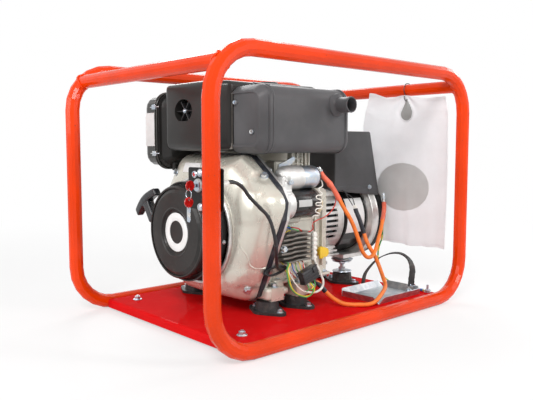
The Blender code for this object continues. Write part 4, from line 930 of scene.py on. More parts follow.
class WELDER_OT_fan_housing(bpy.types.Operator):
    """Press the fan housing, its bright lip, bolts, oil line and blank label"""

    bl_idname = "welder.fan_housing"
    bl_label = "Fan housing"

    def shell(self):
        piece = start("circle", "housing_shell", vertices=HOUSING_STEPS, radius=LIP_R)
        with Shaping(piece) as work:
            work.everything()
            for _ in range(HOUSING_RINGS):
                work.push((0, 0, 0.003))
        for index, corner in enumerate(piece.data.vertices):
            ring, step = divmod(index, HOUSING_STEPS)
            angle = 2 * math.pi * step / HOUSING_STEPS
            corner.co = housing_point(angle, ring / HOUSING_RINGS)
        with Shaping(piece) as work:
            work.outward(0)
        face_recoil_side(piece)
        apply(piece, "SOLIDIFY", thickness=0.003, offset=-1)
        return smooth(piece, 40)

    def execute(self, context):
        dressed(self.shell(), "silver_lacquer", node="fan_housing")
        lip = turned(
            "housing_lip",
            "119 -214.8, 121.5 -216, 124.5 -215.8, 126.6 -214, 127.2 -210.5, 125 -206.8, 120 -206, 119 -209",
            120, closed=True,
        )
        place(lip, laid((0, CRANK.y, CRANK.z), 90, "Y"))
        dressed(smooth(lip, 50), "bright_casting")

        bolt = screw("housing_bolt", 0.0125, 0.0058, washer=0.0095, thick=0.0016)
        seats = [on_housing(y, z, -0.0004) for y, z in HOUSING_BOLTS]
        scatter(bolt, [standing(spot, way, 0.3 * i) for i, (spot, way) in enumerate(seats)], "zinc_plate")

        line = [(-0.1, 0.205), (-0.103, 0.19), (-0.11, 0.178), (-0.117, 0.168)]
        line += [(-0.1185, 0.158), (-0.118, 0.147), (-0.121, 0.138), (-0.128, 0.1335), (-0.134, 0.132)]
        route = [on_housing(y, z, -0.0018)[0] for y, z in line]
        dressed(run("housing_oil_line", route, 0.003), "silver_lacquer")

        thick = context.scene.welder_sizes.label
        label = start("grid", "housing_label", x_subdivisions=14, y_subdivisions=8, size=1)
        for corner in label.data.vertices:
            y = 0.076 + corner.co.x * 0.066
            z = 0.353 + corner.co.y * 0.022
            corner.co = on_housing(y, z, 0.0003)[0]
        with Shaping(label) as work:
            work.outward(0)
        face_recoil_side(label)
        apply(label, "SOLIDIFY", thickness=thick, offset=1)
        dressed(label, "blank_white")
        return {"FINISHED"}


def about_crank(name, profile, steps):
    """A ring spun about the crank's axis from (radius, x) points."""
    return smooth(along_x(name, profile, (CRANK.y, CRANK.z), steps, closed=True), 40)


class WELDER_OT_recoil_starter(bpy.types.Operator):
    """Make the recoil starter's blank ring badge, rims, grille and screws"""

    bl_idname = "welder.recoil_starter"
    bl_label = "Recoil starter"

    def grille(self):
        """The louvred band of the skirt, made as one slat and repeated round it."""
        slat = block("skirt_slat", "-1.1 -1.3 -11, 1.1 1.3 11", 0.0005, 1)
        shells = []
        count = 84
        for i in range(count):
            angle = 2 * math.pi * i / count
            centre = Vector((-0.239, CRANK.y + 0.114 * math.cos(angle), CRANK.z + 0.114 * math.sin(angle)))
            turn = Matrix.Rotation(angle, 4, "X") @ Matrix.Rotation(math.radians(90), 4, "Y")
            shells.append(Matrix.Translation(centre) @ turn)
        pieces = copies(slat, shells)
        band = join("skirt_grille", *pieces)
        rims = [
            about_crank(
                "rim",
                [(0.1128, x - 0.0016), (0.1156, x - 0.0016), (0.1156, x + 0.0016), (0.1128, x + 0.0016)], 96,
            )
            for x in (-0.25, -0.229)
        ]
        return join("skirt_grille", band, *rims)

    def execute(self, context):
        badge = about_crank(
            "recoil_badge",
            "26.6 -270.55, 44.6 -270.55, 44.6 -271.75, 44 -272.15, 27.2 -272.15, 26.6 -271.75",
            96,
        )
        dressed(badge, "blank_white")
        step = about_crank(
            "recess_rim", "50.6 -270, 53.6 -276.1, 56 -277.2, 58.5 -276.1, 58.5 -275, 50.6 -269", 96,
        )
        dressed(step, "charcoal_paint")
        edge = about_crank(
            "cover_edge", "100 -274.5, 103 -275, 105.6 -273.3, 106.8 -270.5, 106.8 -268, 100 -268", 128,
        )
        dressed(edge, "charcoal_paint")
        dressed(self.grille(), "black_plastic")
        small = screw("skirt_screw", 0.0065, 0.003, washer=0.005, thick=0.0008, round_head=True)
        places = []
        for angle in (8, 52, 98, 142, 188, 232, 278, 322):
            turn = math.radians(angle)
            way = Vector((0, math.cos(turn), math.sin(turn)))
            at = Vector((-0.2205, CRANK.y, CRANK.z)) + way * 0.1129
            places.append(standing(at, way))
        scatter(small, places, "zinc_plate")
        return {"FINISHED"}


# Air cleaner and muffler.


# The foot and the top of the air cleaner's box, and the middle of its intake.
CLEANER_FOOT, CLEANER_TOP = 0.393, 0.55
INTAKE_Y, INTAKE_Z = 0.065, 0.485


class WELDER_OT_air_cleaner(bpy.types.Operator):
    """Make the air cleaner's box and vaned intake, the can's ribs, clips and drain, and the blank label"""

    bl_idname = "welder.air_cleaner"
    bl_label = "Air cleaner"

    def box(self):
        plan = [(-0.235, 0.149), (-0.108, 0.149), (-0.108, -0.06), (-0.197, -0.06), (-0.235, -0.02)]
        rounded = rounded_outline(plan, 0.021, 7)
        piece = outlined("cleaner_box", rounded, CLEANER_TOP - CLEANER_FOOT)
        place(piece, Matrix.Translation((0, 0, CLEANER_FOOT)))
        with Shaping(piece) as work:
            work.sharp(0.5, lambda edge: all(v.co.z > CLEANER_TOP - 0.001 for v in edge.verts))
            work.bevel(0.013, 5)
            work.sharp(0.5, lambda edge: all(v.co.z < CLEANER_FOOT + 0.001 for v in edge.verts))
            bpy.ops.mesh.bevel(offset=0.0195, segments=3, profile=0.5, affect="EDGES")
            work.outward(0)
        hole = start("cylinder", "intake_cutter", vertices=48, radius=1, depth=0.05)
        for corner in hole.data.vertices:
            across, rise, deep = corner.co.x, corner.co.y, corner.co.z
            flat = max(rise, -0.86)
            corner.co = (-0.235 + deep, INTAKE_Y + across * 0.0346, INTAKE_Z + flat * 0.027)
        with Shaping(hole) as work:
            work.outward(0)
        cut(piece, hole)
        return smooth(piece, 30)

    def vanes(self):
        vane = block("intake_vane", "-6 -1.1 4, 6 1.1 32", 0.0005, 1)
        places = [laid((-0.2245, INTAKE_Y, INTAKE_Z), 30 + 60 * i, "X") for i in range(6)]
        pieces = copies(vane, places)
        for piece in pieces:
            for corner in piece.data.vertices:
                corner.co.z = INTAKE_Z + (corner.co.z - INTAKE_Z) * 0.8
        hub = turned("vane_hub", "0 -6, 6.5 -6, 6.5 4, 5 6, 0 6", 24)
        place(hub, standing((-0.2245, INTAKE_Y, INTAKE_Z), RECOIL_SIDE))
        # A near-black disc at the bottom of the intake recess: painted shade in the hole.
        back = start(
            "cylinder", "intake_back", vertices=32, radius=0.0335, depth=0.001,
            location=(-0.2105, INTAKE_Y, INTAKE_Z), rotation=(0, math.radians(90), 0),
        )
        for corner in back.data.vertices:
            corner.co.z = INTAKE_Z + (corner.co.z - INTAKE_Z) * 0.79
        return join("intake_vanes", *pieces, hub), back

    def execute(self, context):
        box = self.box()
        dressed(box, "cleaner_paint", node="air_cleaner_box")
        vanes, back = self.vanes()
        dressed(vanes, "black_plastic")
        # The intake's near-black disc is painted shade.
        dressed(back, "socket_black")
        centre = screw("intake_screw", 0.008, 0.003, washer=0.005, thick=0.0008, round_head=True)
        dressed(place(centre, standing((-0.2308, 0.065, 0.485), RECOIL_SIDE)), "nickel_plate")

        # The can is a rounded square about (x, z) = (-0.147, 0.442).
        half_x, half_z = 0.08, 0.093
        for name, y, grow in (("can_rib_1", 0.189, 0.0016), ("can_rib_2", 0.1968, 0.0018)):
            corners = [
                (-0.147 + sx * (half_x + grow - 0.0012), 0.442 + sz * (half_z + grow - 0.0012))
                for sx, sz in ((-1, -1), (1, -1), (1, 1), (-1, 1))
            ]
            route = [(x, y, z) for x, z in rounded_outline(corners, 0.036, 10)]
            dressed(run(name, route, 0.0024, 8, cyclic=True), "cap_paint")

        for number, (x, z) in enumerate(((-0.2278, 0.5), (-0.2278, 0.386), (-0.0662, 0.5), (-0.0662, 0.386))):
            side = -1 if x < -0.147 else 1
            bows = ((0.0004, 0.178), (0.003, 0.186), (0.0042, 0.198), (0.003, 0.21), (0.0008, 0.2165))
            wire = [(x + side * out, y, z) for out, y in bows]
            clip = run(f"cap_clip_wire_{number + 1}", wire, 0.0012, 8)
            tab = block(
                f"tab_{number}",
                ((x - 0.0016, 0.19, z - 0.006), (x + 0.004 if side > 0 else x + 0.0016, 0.207, z + 0.006)),
                0.0012, 2,
            )
            if side < 0:
                place(tab, Matrix.Translation((-0.0024, 0, 0)))
            dressed(join(f"cap_clip_{number + 1}", tab, clip), "nickel_plate")

        nub = turned("can_drain", "0 0, 7.5 0, 7.5 4, 5.5 6, 5.5 11, 4.5 13, 0 13", 20)
        dressed(place(nub, standing((-0.17, 0.172, 0.3498), (0, 0, -1))), "black_plastic")

        thick = context.scene.welder_sizes.label
        face_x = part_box("air_cleaner_cap")[0].x
        label = block(
            "cap_label", ((face_x - thick - 0.0004, 0.2085, 0.404), (face_x + 0.0002, 0.25, 0.487)), 0.0,
        )
        dressed(label, "blank_white")
        return {"FINISHED"}


def span_x(edge):
    return abs(edge.verts[0].co.x - edge.verts[1].co.x)


class WELDER_OT_muffler(bpy.types.Operator):
    """Press the muffler, its rolled end seam, its outlet and its bolted end guard"""

    bl_idname = "welder.muffler"
    bl_label = "Muffler"

    def execute(self, context):
        body = start(
            "cube", "muffler_shell", size=1, location=(-0.042, -0.095, 0.46275), scale=(0.26, 0.13, 0.1485),
        )
        with Shaping(body) as work:
            work.edges(lambda edge: span_x(edge) > 0.9 * edge.calc_length())
            work.bevel(0.03, 9)
            work.sharp(0.7, lambda edge: span_x(edge) < 1e-6)
            work.bevel(0.009, 4)
            work.outward(0)
        smooth(body, 32)

        def hoop(name, x, grow, radius):
            corners = [
                (-0.095 + sy * (0.065 + grow), 0.46275 + sz * (0.07425 + grow))
                for sy, sz in ((-1, -1), (1, -1), (1, 1), (-1, 1))
            ]
            return run(
                name, [(x, y, z) for y, z in rounded_outline(corners, 0.03 + grow, 9)], radius, 8,
                cyclic=True,
            )

        seam = hoop("end_seam", 0.075, -0.0004, 0.0032)
        second = hoop("guard_seam", -0.158, -0.0004, 0.0024)
        pipe = turned(
            "outlet_pipe", "18 0, 18 61.5, 18.7 64, 18 66, 16 66, 15.6 60, 15.6 -20, 18 -20", 48, closed=True,
        )
        place(pipe, standing((0.043, -0.1392, 0.499), NEAR))
        collar = turned("outlet_collar", "17 0, 27.5 0, 26.2 4, 21 7.5, 18.4 11.5, 17 11.5", 48, closed=True)
        place(collar, standing((0.043, -0.159, 0.499), NEAR))
        shell = join("muffler_shell", body, seam, second, smooth(pipe), smooth(collar))
        dressed(shell, "muffler_paint", node="muffler")
        # A near-black disc inside the outlet pipe: painted shade in its bore.
        inner = start("circle", "outlet_dark", vertices=32, radius=0.0158, fill_type="NGON")
        apply(inner, "SOLIDIFY", thickness=0.001)
        dressed(place(inner, standing((0.043, -0.176, 0.499), NEAR)), "socket_black")

        # End guard: a tapered frame round a flat plate with two socket bolts.
        low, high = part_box("muffler_end_guard")
        front, middle = low.x, (low + high) / 2
        guard = start("cube", "end_guard", size=1, location=middle, scale=high - low)
        with Shaping(guard) as work:
            work.edges(lambda edge: span_x(edge) > 0.9 * edge.calc_length())
            work.bevel(0.028, 8)
            work.facing(RECOIL_SIDE)
            work.scale((1, 0.8, 0.82), (front, middle.y, middle.z))
            work.inset(0.005)
            work.push((0.0028, 0, 0))
            work.sharp(0.5, lambda edge: span_x(edge) < 1e-6)
            work.bevel(0.0022, 3)
            work.outward(0)
        smooth(guard, 28)
        dressed(guard, "muffler_paint", node="muffler_end_guard")
        bolt = turned("guard_bolt", "0 1.5, 2.2 1.5, 2.2 4.6, 4.6 5, 5.4 3.6, 5.4 0, 0 0", 20)
        places = [standing((front + 0.0026, y, z), RECOIL_SIDE) for y, z in ((-0.068, 0.5), (-0.124, 0.435))]
        scatter(bolt, places, "turned_steel")

        stay = block("cleaner_stay", "-192.5 -60 397, -188.5 -44 522", 0.0012, 2)
        with Shaping(stay) as work:
            work.facing(UP)
            work.move((0.01, 0, 0))
        dressed(stay, "grey_casting")
        return {"FINISHED"}


# Key panel.

PANEL_FACE = -0.3927
KEY_R = 0.0097
KEY_PROFILE = ((0, -1), (0.72, -1), (0.78, -1.25), (0.95, -1.15), (1, -0.5))
KEY_PROFILE += tuple((out, -up) for out, up in reversed(KEY_PROFILE))


class WELDER_OT_key_panel(bpy.types.Operator):
    """Make the ignition keys, the panel bolts and the charge lamp"""

    bl_idname = "welder.key_panel"
    bl_label = "Key panel"

    def bow(self, name, at, thick, hole, hole_radius):
        """A key's round plastic head with its ring hole, standing across Y."""
        head = turned(name, [(KEY_R * out, thick / 2 * up) for out, up in KEY_PROFILE], 40)
        place(head, standing(at, FAR))
        drill = start(
            "cylinder", "drill", vertices=20, radius=hole_radius, depth=0.02,
            location=hole, rotation=(math.radians(90), 0, 0),
        )
        return smooth(cut(head, drill), 40)

    def blade(self, name, top, length=0.0284, width=0.0078, thick=0.0016):
        """A key's nickel blade with its cuts, hanging from a point."""
        outline = [(-width / 2, 0), (width / 2, 0), (width / 2, -length * 0.18)]
        for i in range(5):
            level = -length * (0.24 + 0.13 * i)
            outline += [(width * (0.26 if i % 2 else 0.38), level), (width * 0.46, level - length * 0.06)]
        outline += [(width * 0.1, -length), (-width * 0.34, -length * 0.94), (-width / 2, -length * 0.9)]
        piece = place(outlined(name, outline, thick), laid(Vector(top) + Vector((0, thick / 2, 0)), 90, "X"))
        with Shaping(piece) as work:
            work.sharp(0.7)
            work.bevel(0.00018, 1)
        return piece

    def execute(self, context):
        low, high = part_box("spare_key")
        x, y = (low.x + high.x) / 2, (low.y + high.y) / 2
        bow = self.bow("spare_bow", (x, y, high.z - 0.0098), 0.0024, (x, y, 0.3064), 0.0022)
        dressed(bow, "red_plastic", body="spare", node="spare_key")
        dressed(self.blade("spare_blade", (x, y, high.z - 0.0185)), "nickel_plate", body="spare")
        head = self.bow("ignition_bow", (-0.412, -0.21, 0.332), 0.0025, (-0.4152, -0.21, 0.3262), 0.0023)
        dressed(head, "red_plastic", body="key")
        shank = block("ignition_shank", "-406 -210.9 328.3, -390.5 -209.1 335.7", 0.0004, 1)
        dressed(shank, "nickel_plate", body="key", node="ignition_key")

        for name, profile, steps, closed, at, finish, slot in (
            ("switch_bezel", "6 0, 12.8 0, 12.8 2.2, 11.2 4, 8.4 4.6, 6.2 4, 6 3", 48, True,
             (-0.1, -210, 332), "grey_plastic", "steel"),
            ("lamp_bezel", "3.8 0, 6.8 0, 6.8 1.4, 5.6 3, 4.2 3.2, 3.8 2.2", 36, True, (-0.1, -199, 352),
             "nickel_plate", None),
            ("lamp_lens", "0 -1, 4 -1, 4 1.6, 3.2 2.8, 1.6 3.4, 0 3.5", 28, False, (0, -199, 352),
             "red_plastic", None),
        ):
            piece = turned(name, profile, steps, closed)
            place(piece, standing((PANEL_FACE + at[0] * MM, at[1] * MM, at[2] * MM), RECOIL_SIDE))
            dressed(smooth(piece, 30) if slot else piece, finish)

        dome = screw("panel_bolt", 0.015, 0.0062, round_head=True)
        nut = screw("panel_nut", 0.01, 0.005, washer=0.0075, thick=0.001, shank=0.004)
        for original, x, way in ((dome, PANEL_FACE, RECOIL_SIDE), (nut, -0.3906, ALTERNATOR_SIDE)):
            scatter(original, [standing((x, -0.2175, z), way) for z in (0.355, 0.2925)], "zinc_plate")
        return {"FINISHED"}


# Electric starter.

STARTER_Y = -0.131
MOTOR_Z = 0.273
SOLENOID_Z = 0.333
MOTOR = (STARTER_Y, MOTOR_Z)
SOLENOID = (STARTER_Y, SOLENOID_Z)


def along_x(name, profile, axis, steps=48, closed=False):
    """A shape spun about a line along X, at this Y and Z, from (radius, x) points."""
    piece = turned(name, [(radius, -x) for radius, x in in_metres(profile)], steps, closed)
    place(piece, laid((0, *axis), -90, "Y"))
    return smooth(piece, 38)


class WELDER_OT_starter(bpy.types.Operator):
    """Cast the starter's nose, and make its motor, solenoid, bolts and blank label"""

    bl_idname = "welder.starter"
    bl_label = "Electric starter"

    def execute(self, context):
        nose = cast(
            "starter_casting", 7,
            along_x(
                "upper",
                "0 -117.5, 11 -117.5, 21 -112, 26.5 -102, 27.9 -90, 27.9 -57, 27.2 -55.5, 0 -55.5",
                SOLENOID,
            ),
            along_x("lower", "0 -129.3, 34 -129.3, 36.2 -124, 36.6 -104, 35 -93, 34.2 -91.2, 0 -91.2", MOTOR),
            block("web", "-129 -156 275, -93 -106 330", 0.01, 4),
            block("flange", "-129.4 -160 242, -122.5 -101 338", 0.003, 3),
            block("rib", "-127 -161.5 296, -102 -154 303", 0.002, 2),
        )
        dressed(nose, "bright_casting", node="starter_nose")
        for name, profile, axis, steps, finish, node in (
            (
                "motor_barrel", "0 -93, 33.8 -93, 33.8 -20.5, 33 -19, 0 -19",
                MOTOR, 64, "stator_paint", "starter_motor",
            ),
            ("motor_end_cap", "0 -19, 34.2 -19, 34.2 -12.5, 32.5 -9, 24 -6, 13 -5, 12 -2, 0 -2", MOTOR, 64,
             "grey_casting", None),
            ("solenoid_barrel", "0 -56.5, 26.2 -56.5, 26.6 -55, 26.6 -12, 25.9 -9.8, 23.5 -9, 0 -9",
             SOLENOID, 64, "zinc_plate", "solenoid"),
            ("solenoid_insulator", "0 -9.2, 21.5 -9.2, 21.5 -2, 20 1, 14 4, 0 4", SOLENOID, 48,
             "black_plastic", None),
        ):
            dressed(along_x(name, profile, axis, steps), finish, node=node)
        stud = along_x("stud", "0 3, 3.5 3, 3.5 19.5, 2.8 21, 0 21", (STARTER_Y, 0.345), 20)
        nut = screw("nut", 0.0105, 0.0048, washer=0.0072, thick=0.001)
        place(nut, standing((0.0125, STARTER_Y, 0.345), ALTERNATOR_SIDE))
        low_stud = along_x("low_stud", "0 3, 3.2 3, 3.2 15, 0 15", (STARTER_Y, 0.321), 20)
        dressed(join("solenoid_studs", stud, nut, low_stud), "zinc_plate")

        places = [
            standing((-0.105, -0.1588, 0.325), (0, -1, -0.25)),
            standing((-0.1217, -0.156, 0.25), ALTERNATOR_SIDE),
            standing((-0.1217, -0.106, 0.35), ALTERNATOR_SIDE),
        ]
        scatter(screw("nose_bolt", 0.0085, 0.0042, washer=0.0065, thick=0.001), places, "zinc_plate")
        thick = context.scene.welder_sizes.label
        dressed(
            cylinder_patch("motor_label", MOTOR, 0.0339, (-0.085, -0.043), (-98, -72), thick), "blank_silver",
        )
        return {"FINISHED"}


def cylinder_patch(name, axis, radius, span, angles, thick, steps=14):
    """A thin plate bent round a line along X. Its angles run from straight up, the near side's below zero."""
    piece = start("grid", name, x_subdivisions=4, y_subdivisions=steps, size=1)
    y, z = axis
    for corner in piece.data.vertices:
        share_x, share_turn = corner.co.x + 0.5, corner.co.y + 0.5
        turn = math.radians(angles[0] + (angles[1] - angles[0]) * share_turn)
        x = span[0] + (span[1] - span[0]) * share_x
        corner.co = (x, y + radius * math.sin(turn), z + radius * math.cos(turn))
    face = piece.data.polygons[0]
    outward = face.center - Vector((0, y, z))
    outward.x = 0
    if face.normal.dot(outward) < 0:
        piece.data.flip_normals()
    apply(piece, "SOLIDIFY", thickness=thick, offset=1)
    return smooth(piece, 40)


# Regulator and wiring.

REGULATOR_BOX = (-0.112, -0.01, 0.136, 0.207)
# Each wire's finish, its radius in millimetres and its route.
WIRES = {
    "white_lead": (
        "white_wire", 1.5,
        "13 -134 326, 11.5 -140 324, 9.7 -147 313.5, -18.2 -162 303.1, -16 -170 294.3, -35.6 -170 289.1, "
        "-17.7 -170 277.9, -36.9 -170 272.9, -16 -170 265.4, -36.7 -169 258.5, -20.2 -166 247.1, "
        "-33.7 -160 244.6, -22.9 -145 226.2, -15.6 -137 212, -2 -133 198",
    ),
    "red_lead": (
        "red_wire", 1.3,
        "56 -135 298, 64 -138.5 286.6, 61 -142 267.3, 43.9 -144 248.9, 19 -145 236.7, -8.4 -145 230.3, "
        "-18.9 -143 223.8, -14.2 -140 210.8, -29.1 -134 204, -40 -128 201",
    ),
    "white_feed": (
        "white_wire", 2.8,
        "-3 -134 145, -3.6 -136 136, -1 -139 126, 5 -142 112.8, 8.5 -147 98, 8.5 -153 85, 1 -157 74, "
        "-15.8 -159 66.5, -36 -160 66.8, -58.5 -160 71.8",
    ),
    "white_loop": (
        "white_wire", 1.4,
        "-56 -161 72.5, -63.6 -163 73.5, -78 -158.7 83.4, -92.2 -152.5 103.5, -97.5 -146.2 120.8, "
        "-88 -136 132, -80 -128 139",
    ),
    "yellow_loop": (
        "yellow_wire", 1.4,
        "-82 -126 139, -88.4 -140 136.3, -99.8 -144.8 126.4, -100.8 -148.6 112.4, -96.1 -150.3 91.7, "
        "-86.6 -152.1 76.1, -68.8 -154.9 64.3, -50.8 -157.7 60.2, -36.8 -160.4 63.9, -30.5 -162.2 72.4, "
        "-40 -157 87, -43 -152 93",
    ),
    "green_loop": (
        "green_wire", 1.3,
        "-90 -126 140, -96.4 -142 139, -105.7 -147.6 127.6, -106.7 -151.1 110.8, -102 -153.7 90.4, "
        "-91.7 -157.3 74.8, -72.8 -160.9 63.7, -55.6 -164.4 60.4, -40.5 -165 67.3, -33 -160 80, -33 -153 90",
    ),
    "green_tail_1": (
        "green_wire", 1.3, "-50 -150 92, -48 -156 85, -46.4 -159.3 79, -50 -161.7 74.6, -60 -162 73.5",
    ),
    "green_tail_2": (
        "green_wire", 1.3, "-20 -150 96, -23.5 -156 87, -25 -159.3 81, -34 -162 76.2, -47 -163 75",
    ),
    "yellow_tail": ("yellow_wire", 1.3, "-39 -150 93, -36 -156 86, -34.2 -160 80, -42 -162.5 75"),
    "green_top_1": (
        "green_wire", 1.2,
        "-94 -118 205, -100.5 -127 211.7, -104.7 -130 218.1, -99.2 -131 223.5, -86.5 -131 223.5, "
        "-76.6 -128 215.7, -73.1 -118 206",
    ),
    "blue_top": (
        "blue_wire", 1.4, "-101.1 -118 206, -102 -129 216, -93 -134 220.5, -81 -133 216.5, -79 -120 206",
    ),
    "red_top": (
        "red_wire", 1.3,
        "-76.3 -121 219, -70 -133 218, -60 -136 216, -51.2 -135 211.7, -42.1 -131 207.5, -38 -120 205",
    ),
    "green_top_2": (
        "green_wire", 1.2, "-83 -122 218, -78 -135 216, -68.8 -137 213.6, -56.8 -135 209.6, -49.1 -122 205.5",
    ),
    "yellow_top": (
        "yellow_wire", 1.2, "-95 -121 206, -91 -133 211, -86 -134 212.8, -79.4 -130 211.8, -77 -120 206",
    ),
    "lamp_lead_1": (
        "black_wire", 1.2, "172.2 -64 289, 172.2 -78 282, 173.5 -86 270, 182.8 -89 256, 190.5 -86 250",
    ),
    "lamp_lead_2": (
        "black_wire", 1.2,
        "176 -64 288.5, 180 -76 280, 188.2 -86.3 270.2, 193.5 -88 258, 202 -86 244, 211.6 -83 234.1",
    ),
}
LOW_TAILS = ("yellow_wire", "green_wire", "beige_plastic", "blue_wire", "red_wire", "white_wire")


class WELDER_OT_regulator(bpy.types.Operator):
    """Cast the finned regulator and lay its plugs and coloured wires"""

    bl_idname = "welder.regulator"
    bl_label = "Regulator and wiring"

    def slab(self, name, outline, depth, y, least, round_off):
        """A slab on an (x, z) outline, from a Y plane towards the near side, with rounded edges."""
        piece = place(outlined(name, outline, depth), laid((0, y, 0), 90, "X"))
        with Shaping(piece) as work:
            work.sharp(least)
            work.bevel(round_off, 2)
        return piece

    def casting(self):
        left, right, low, high = REGULATOR_BOX
        chamfer = 0.021
        plan = [(left, low + chamfer), (left + chamfer, low), (right - 0.012, low), (right, low + 0.01)]
        plan += [(right, high - 0.01), (right - 0.012, high), (left + chamfer, high), (left, high - chamfer)]
        shells = [self.slab("regulator_plate", plan, 0.01, -0.108, 0.5, 0.0012)]
        count = 7
        pitch = (high - low - 0.008) / (count - 1)
        half = 0.0021
        for i in range(count):
            z = low + 0.004 + pitch * i
            inward = min(z - low, high - z)
            start_x = left + max(0.0, chamfer - inward) * 0.9 + 0.001
            end_x = right - 0.001 - max(0.0, 0.01 - inward)
            jog = start_x + (end_x - start_x) * 0.36
            line = [
                (start_x, z - 0.0012), (jog - 0.004, z - 0.0012), (jog + 0.004, z + 0.001),
                (end_x, z + 0.001),
            ]
            outline = [(x, level - half) for x, level in line] + [
                (x, level + half)
                for x, level in reversed(line)
            ]
            shells.append(self.slab(f"fin_{i}", outline, 0.02, -0.1165, 0.7, 0.0007))
        ear = block("ear", ((left + 0.001, -0.131, 0.1605), (left + 0.024, -0.1165, 0.1815)), 0.004, 3)
        return smooth(join("regulator_casting", *shells, ear), 30)

    def plug(self):
        """The black wiring block, with its ribs and latch, tilted as it hangs."""
        body = block("plug_body", "-25 -9 -14.5, 25 9 14.5", 0.0018, 2)
        ribs = [
            block(f"plug_rib_{i}", ((-0.0245, -0.0106, z - 0.0012), (0.0245, -0.0085, z + 0.0012)), 0.0005, 1)
            for i, z in enumerate((-0.007, 0.0005, 0.008))
        ]
        latch = block("plug_latch", "8 -12.2 0.5, 21.5 -8.5 12.5", 0.001, 2)
        lips = [
            block(f"plug_lip_{i}", ((-0.0262, -0.0095, z - 0.0016), (0.0262, 0.0095, z + 0.0016)), 0.0006, 1)
            for i, z in enumerate((-0.0135, 0.0135))
        ]
        piece = join("wiring_plug", body, *ribs, latch, *lips)
        return place(
            piece, laid((-0.0365, -0.148, 0.107), -17, "Y") @ Matrix.Rotation(math.radians(-8), 4, "X"),
        )

    def execute(self, context):
        dressed(self.casting(), "grey_casting", node="regulator")
        bolt = screw("regulator_bolt", 0.0125, 0.0058, washer=0.0088, thick=0.0015)
        dressed(place(bolt, standing((-0.101, -0.1308, 0.171), NEAR, 0.4)), "zinc_plate")
        dressed(self.plug(), "black_plastic")

        strip = block("plug_strip", "-8 -137.5 136, 1.5 -126 203", 0.0014, 2)
        notches = [
            block(f"strip_{i}", ((-0.0085, -0.1392, z), (0.002, -0.1365, z + 0.0055)), 0.0008, 1)
            for i, z in enumerate(0.14 + 0.0105 * k for k in range(6))
        ]
        dressed(join("plug_strip", strip, *notches), "white_plastic")

        for name, (finish, radius, route) in WIRES.items():
            dressed(run(name, route, radius * MM, 8), finish)
        for i in range(9):
            x = -0.096 + 0.008 * i
            lean = 0.004 * math.sin(i * 2.1)
            points = [
                (x, -0.118, 0.139), (x + lean, -0.129, 0.132), (x + lean * 1.6, -0.133, 0.122),
                (x + 0.01 + lean, -0.131, 0.11), (x + 0.02, -0.129, 0.099),
            ]
            dressed(run(f"loom_tail_{i + 1}", points, 0.0012, 8), LOW_TAILS[(i * 5) % len(LOW_TAILS)])

        loops = []
        for i in range(5):
            grow = 0.004 * math.sin(i * 1.7)
            points = []
            for k in range(14):
                turn = 2 * math.pi * k / 14
                x, rise = math.cos(turn), math.sin(turn)
                y = -0.129 - 0.0016 * i - 0.002 * math.sin(2 * turn)
                z = 0.126 + (0.0085 + grow * 0.4) * rise + 0.0027 * x
                points.append((-0.1275 + (0.03 + grow) * x, y, z))
            loops.append(run(f"loop_{i}", points, 0.0014, 8, cyclic=True))
        dressed(join("loom_coil", *loops), "black_wire")
        boot = turned("lead_boot", "0 0, 6 0, 8.5 4, 8.5 22, 6 28, 3 31, 0 31", 20)
        dressed(place(boot, standing((-0.008, -0.156, 0.28), (-0.25, 0.0, -1))), "beige_plastic")
        return {"FINISHED"}


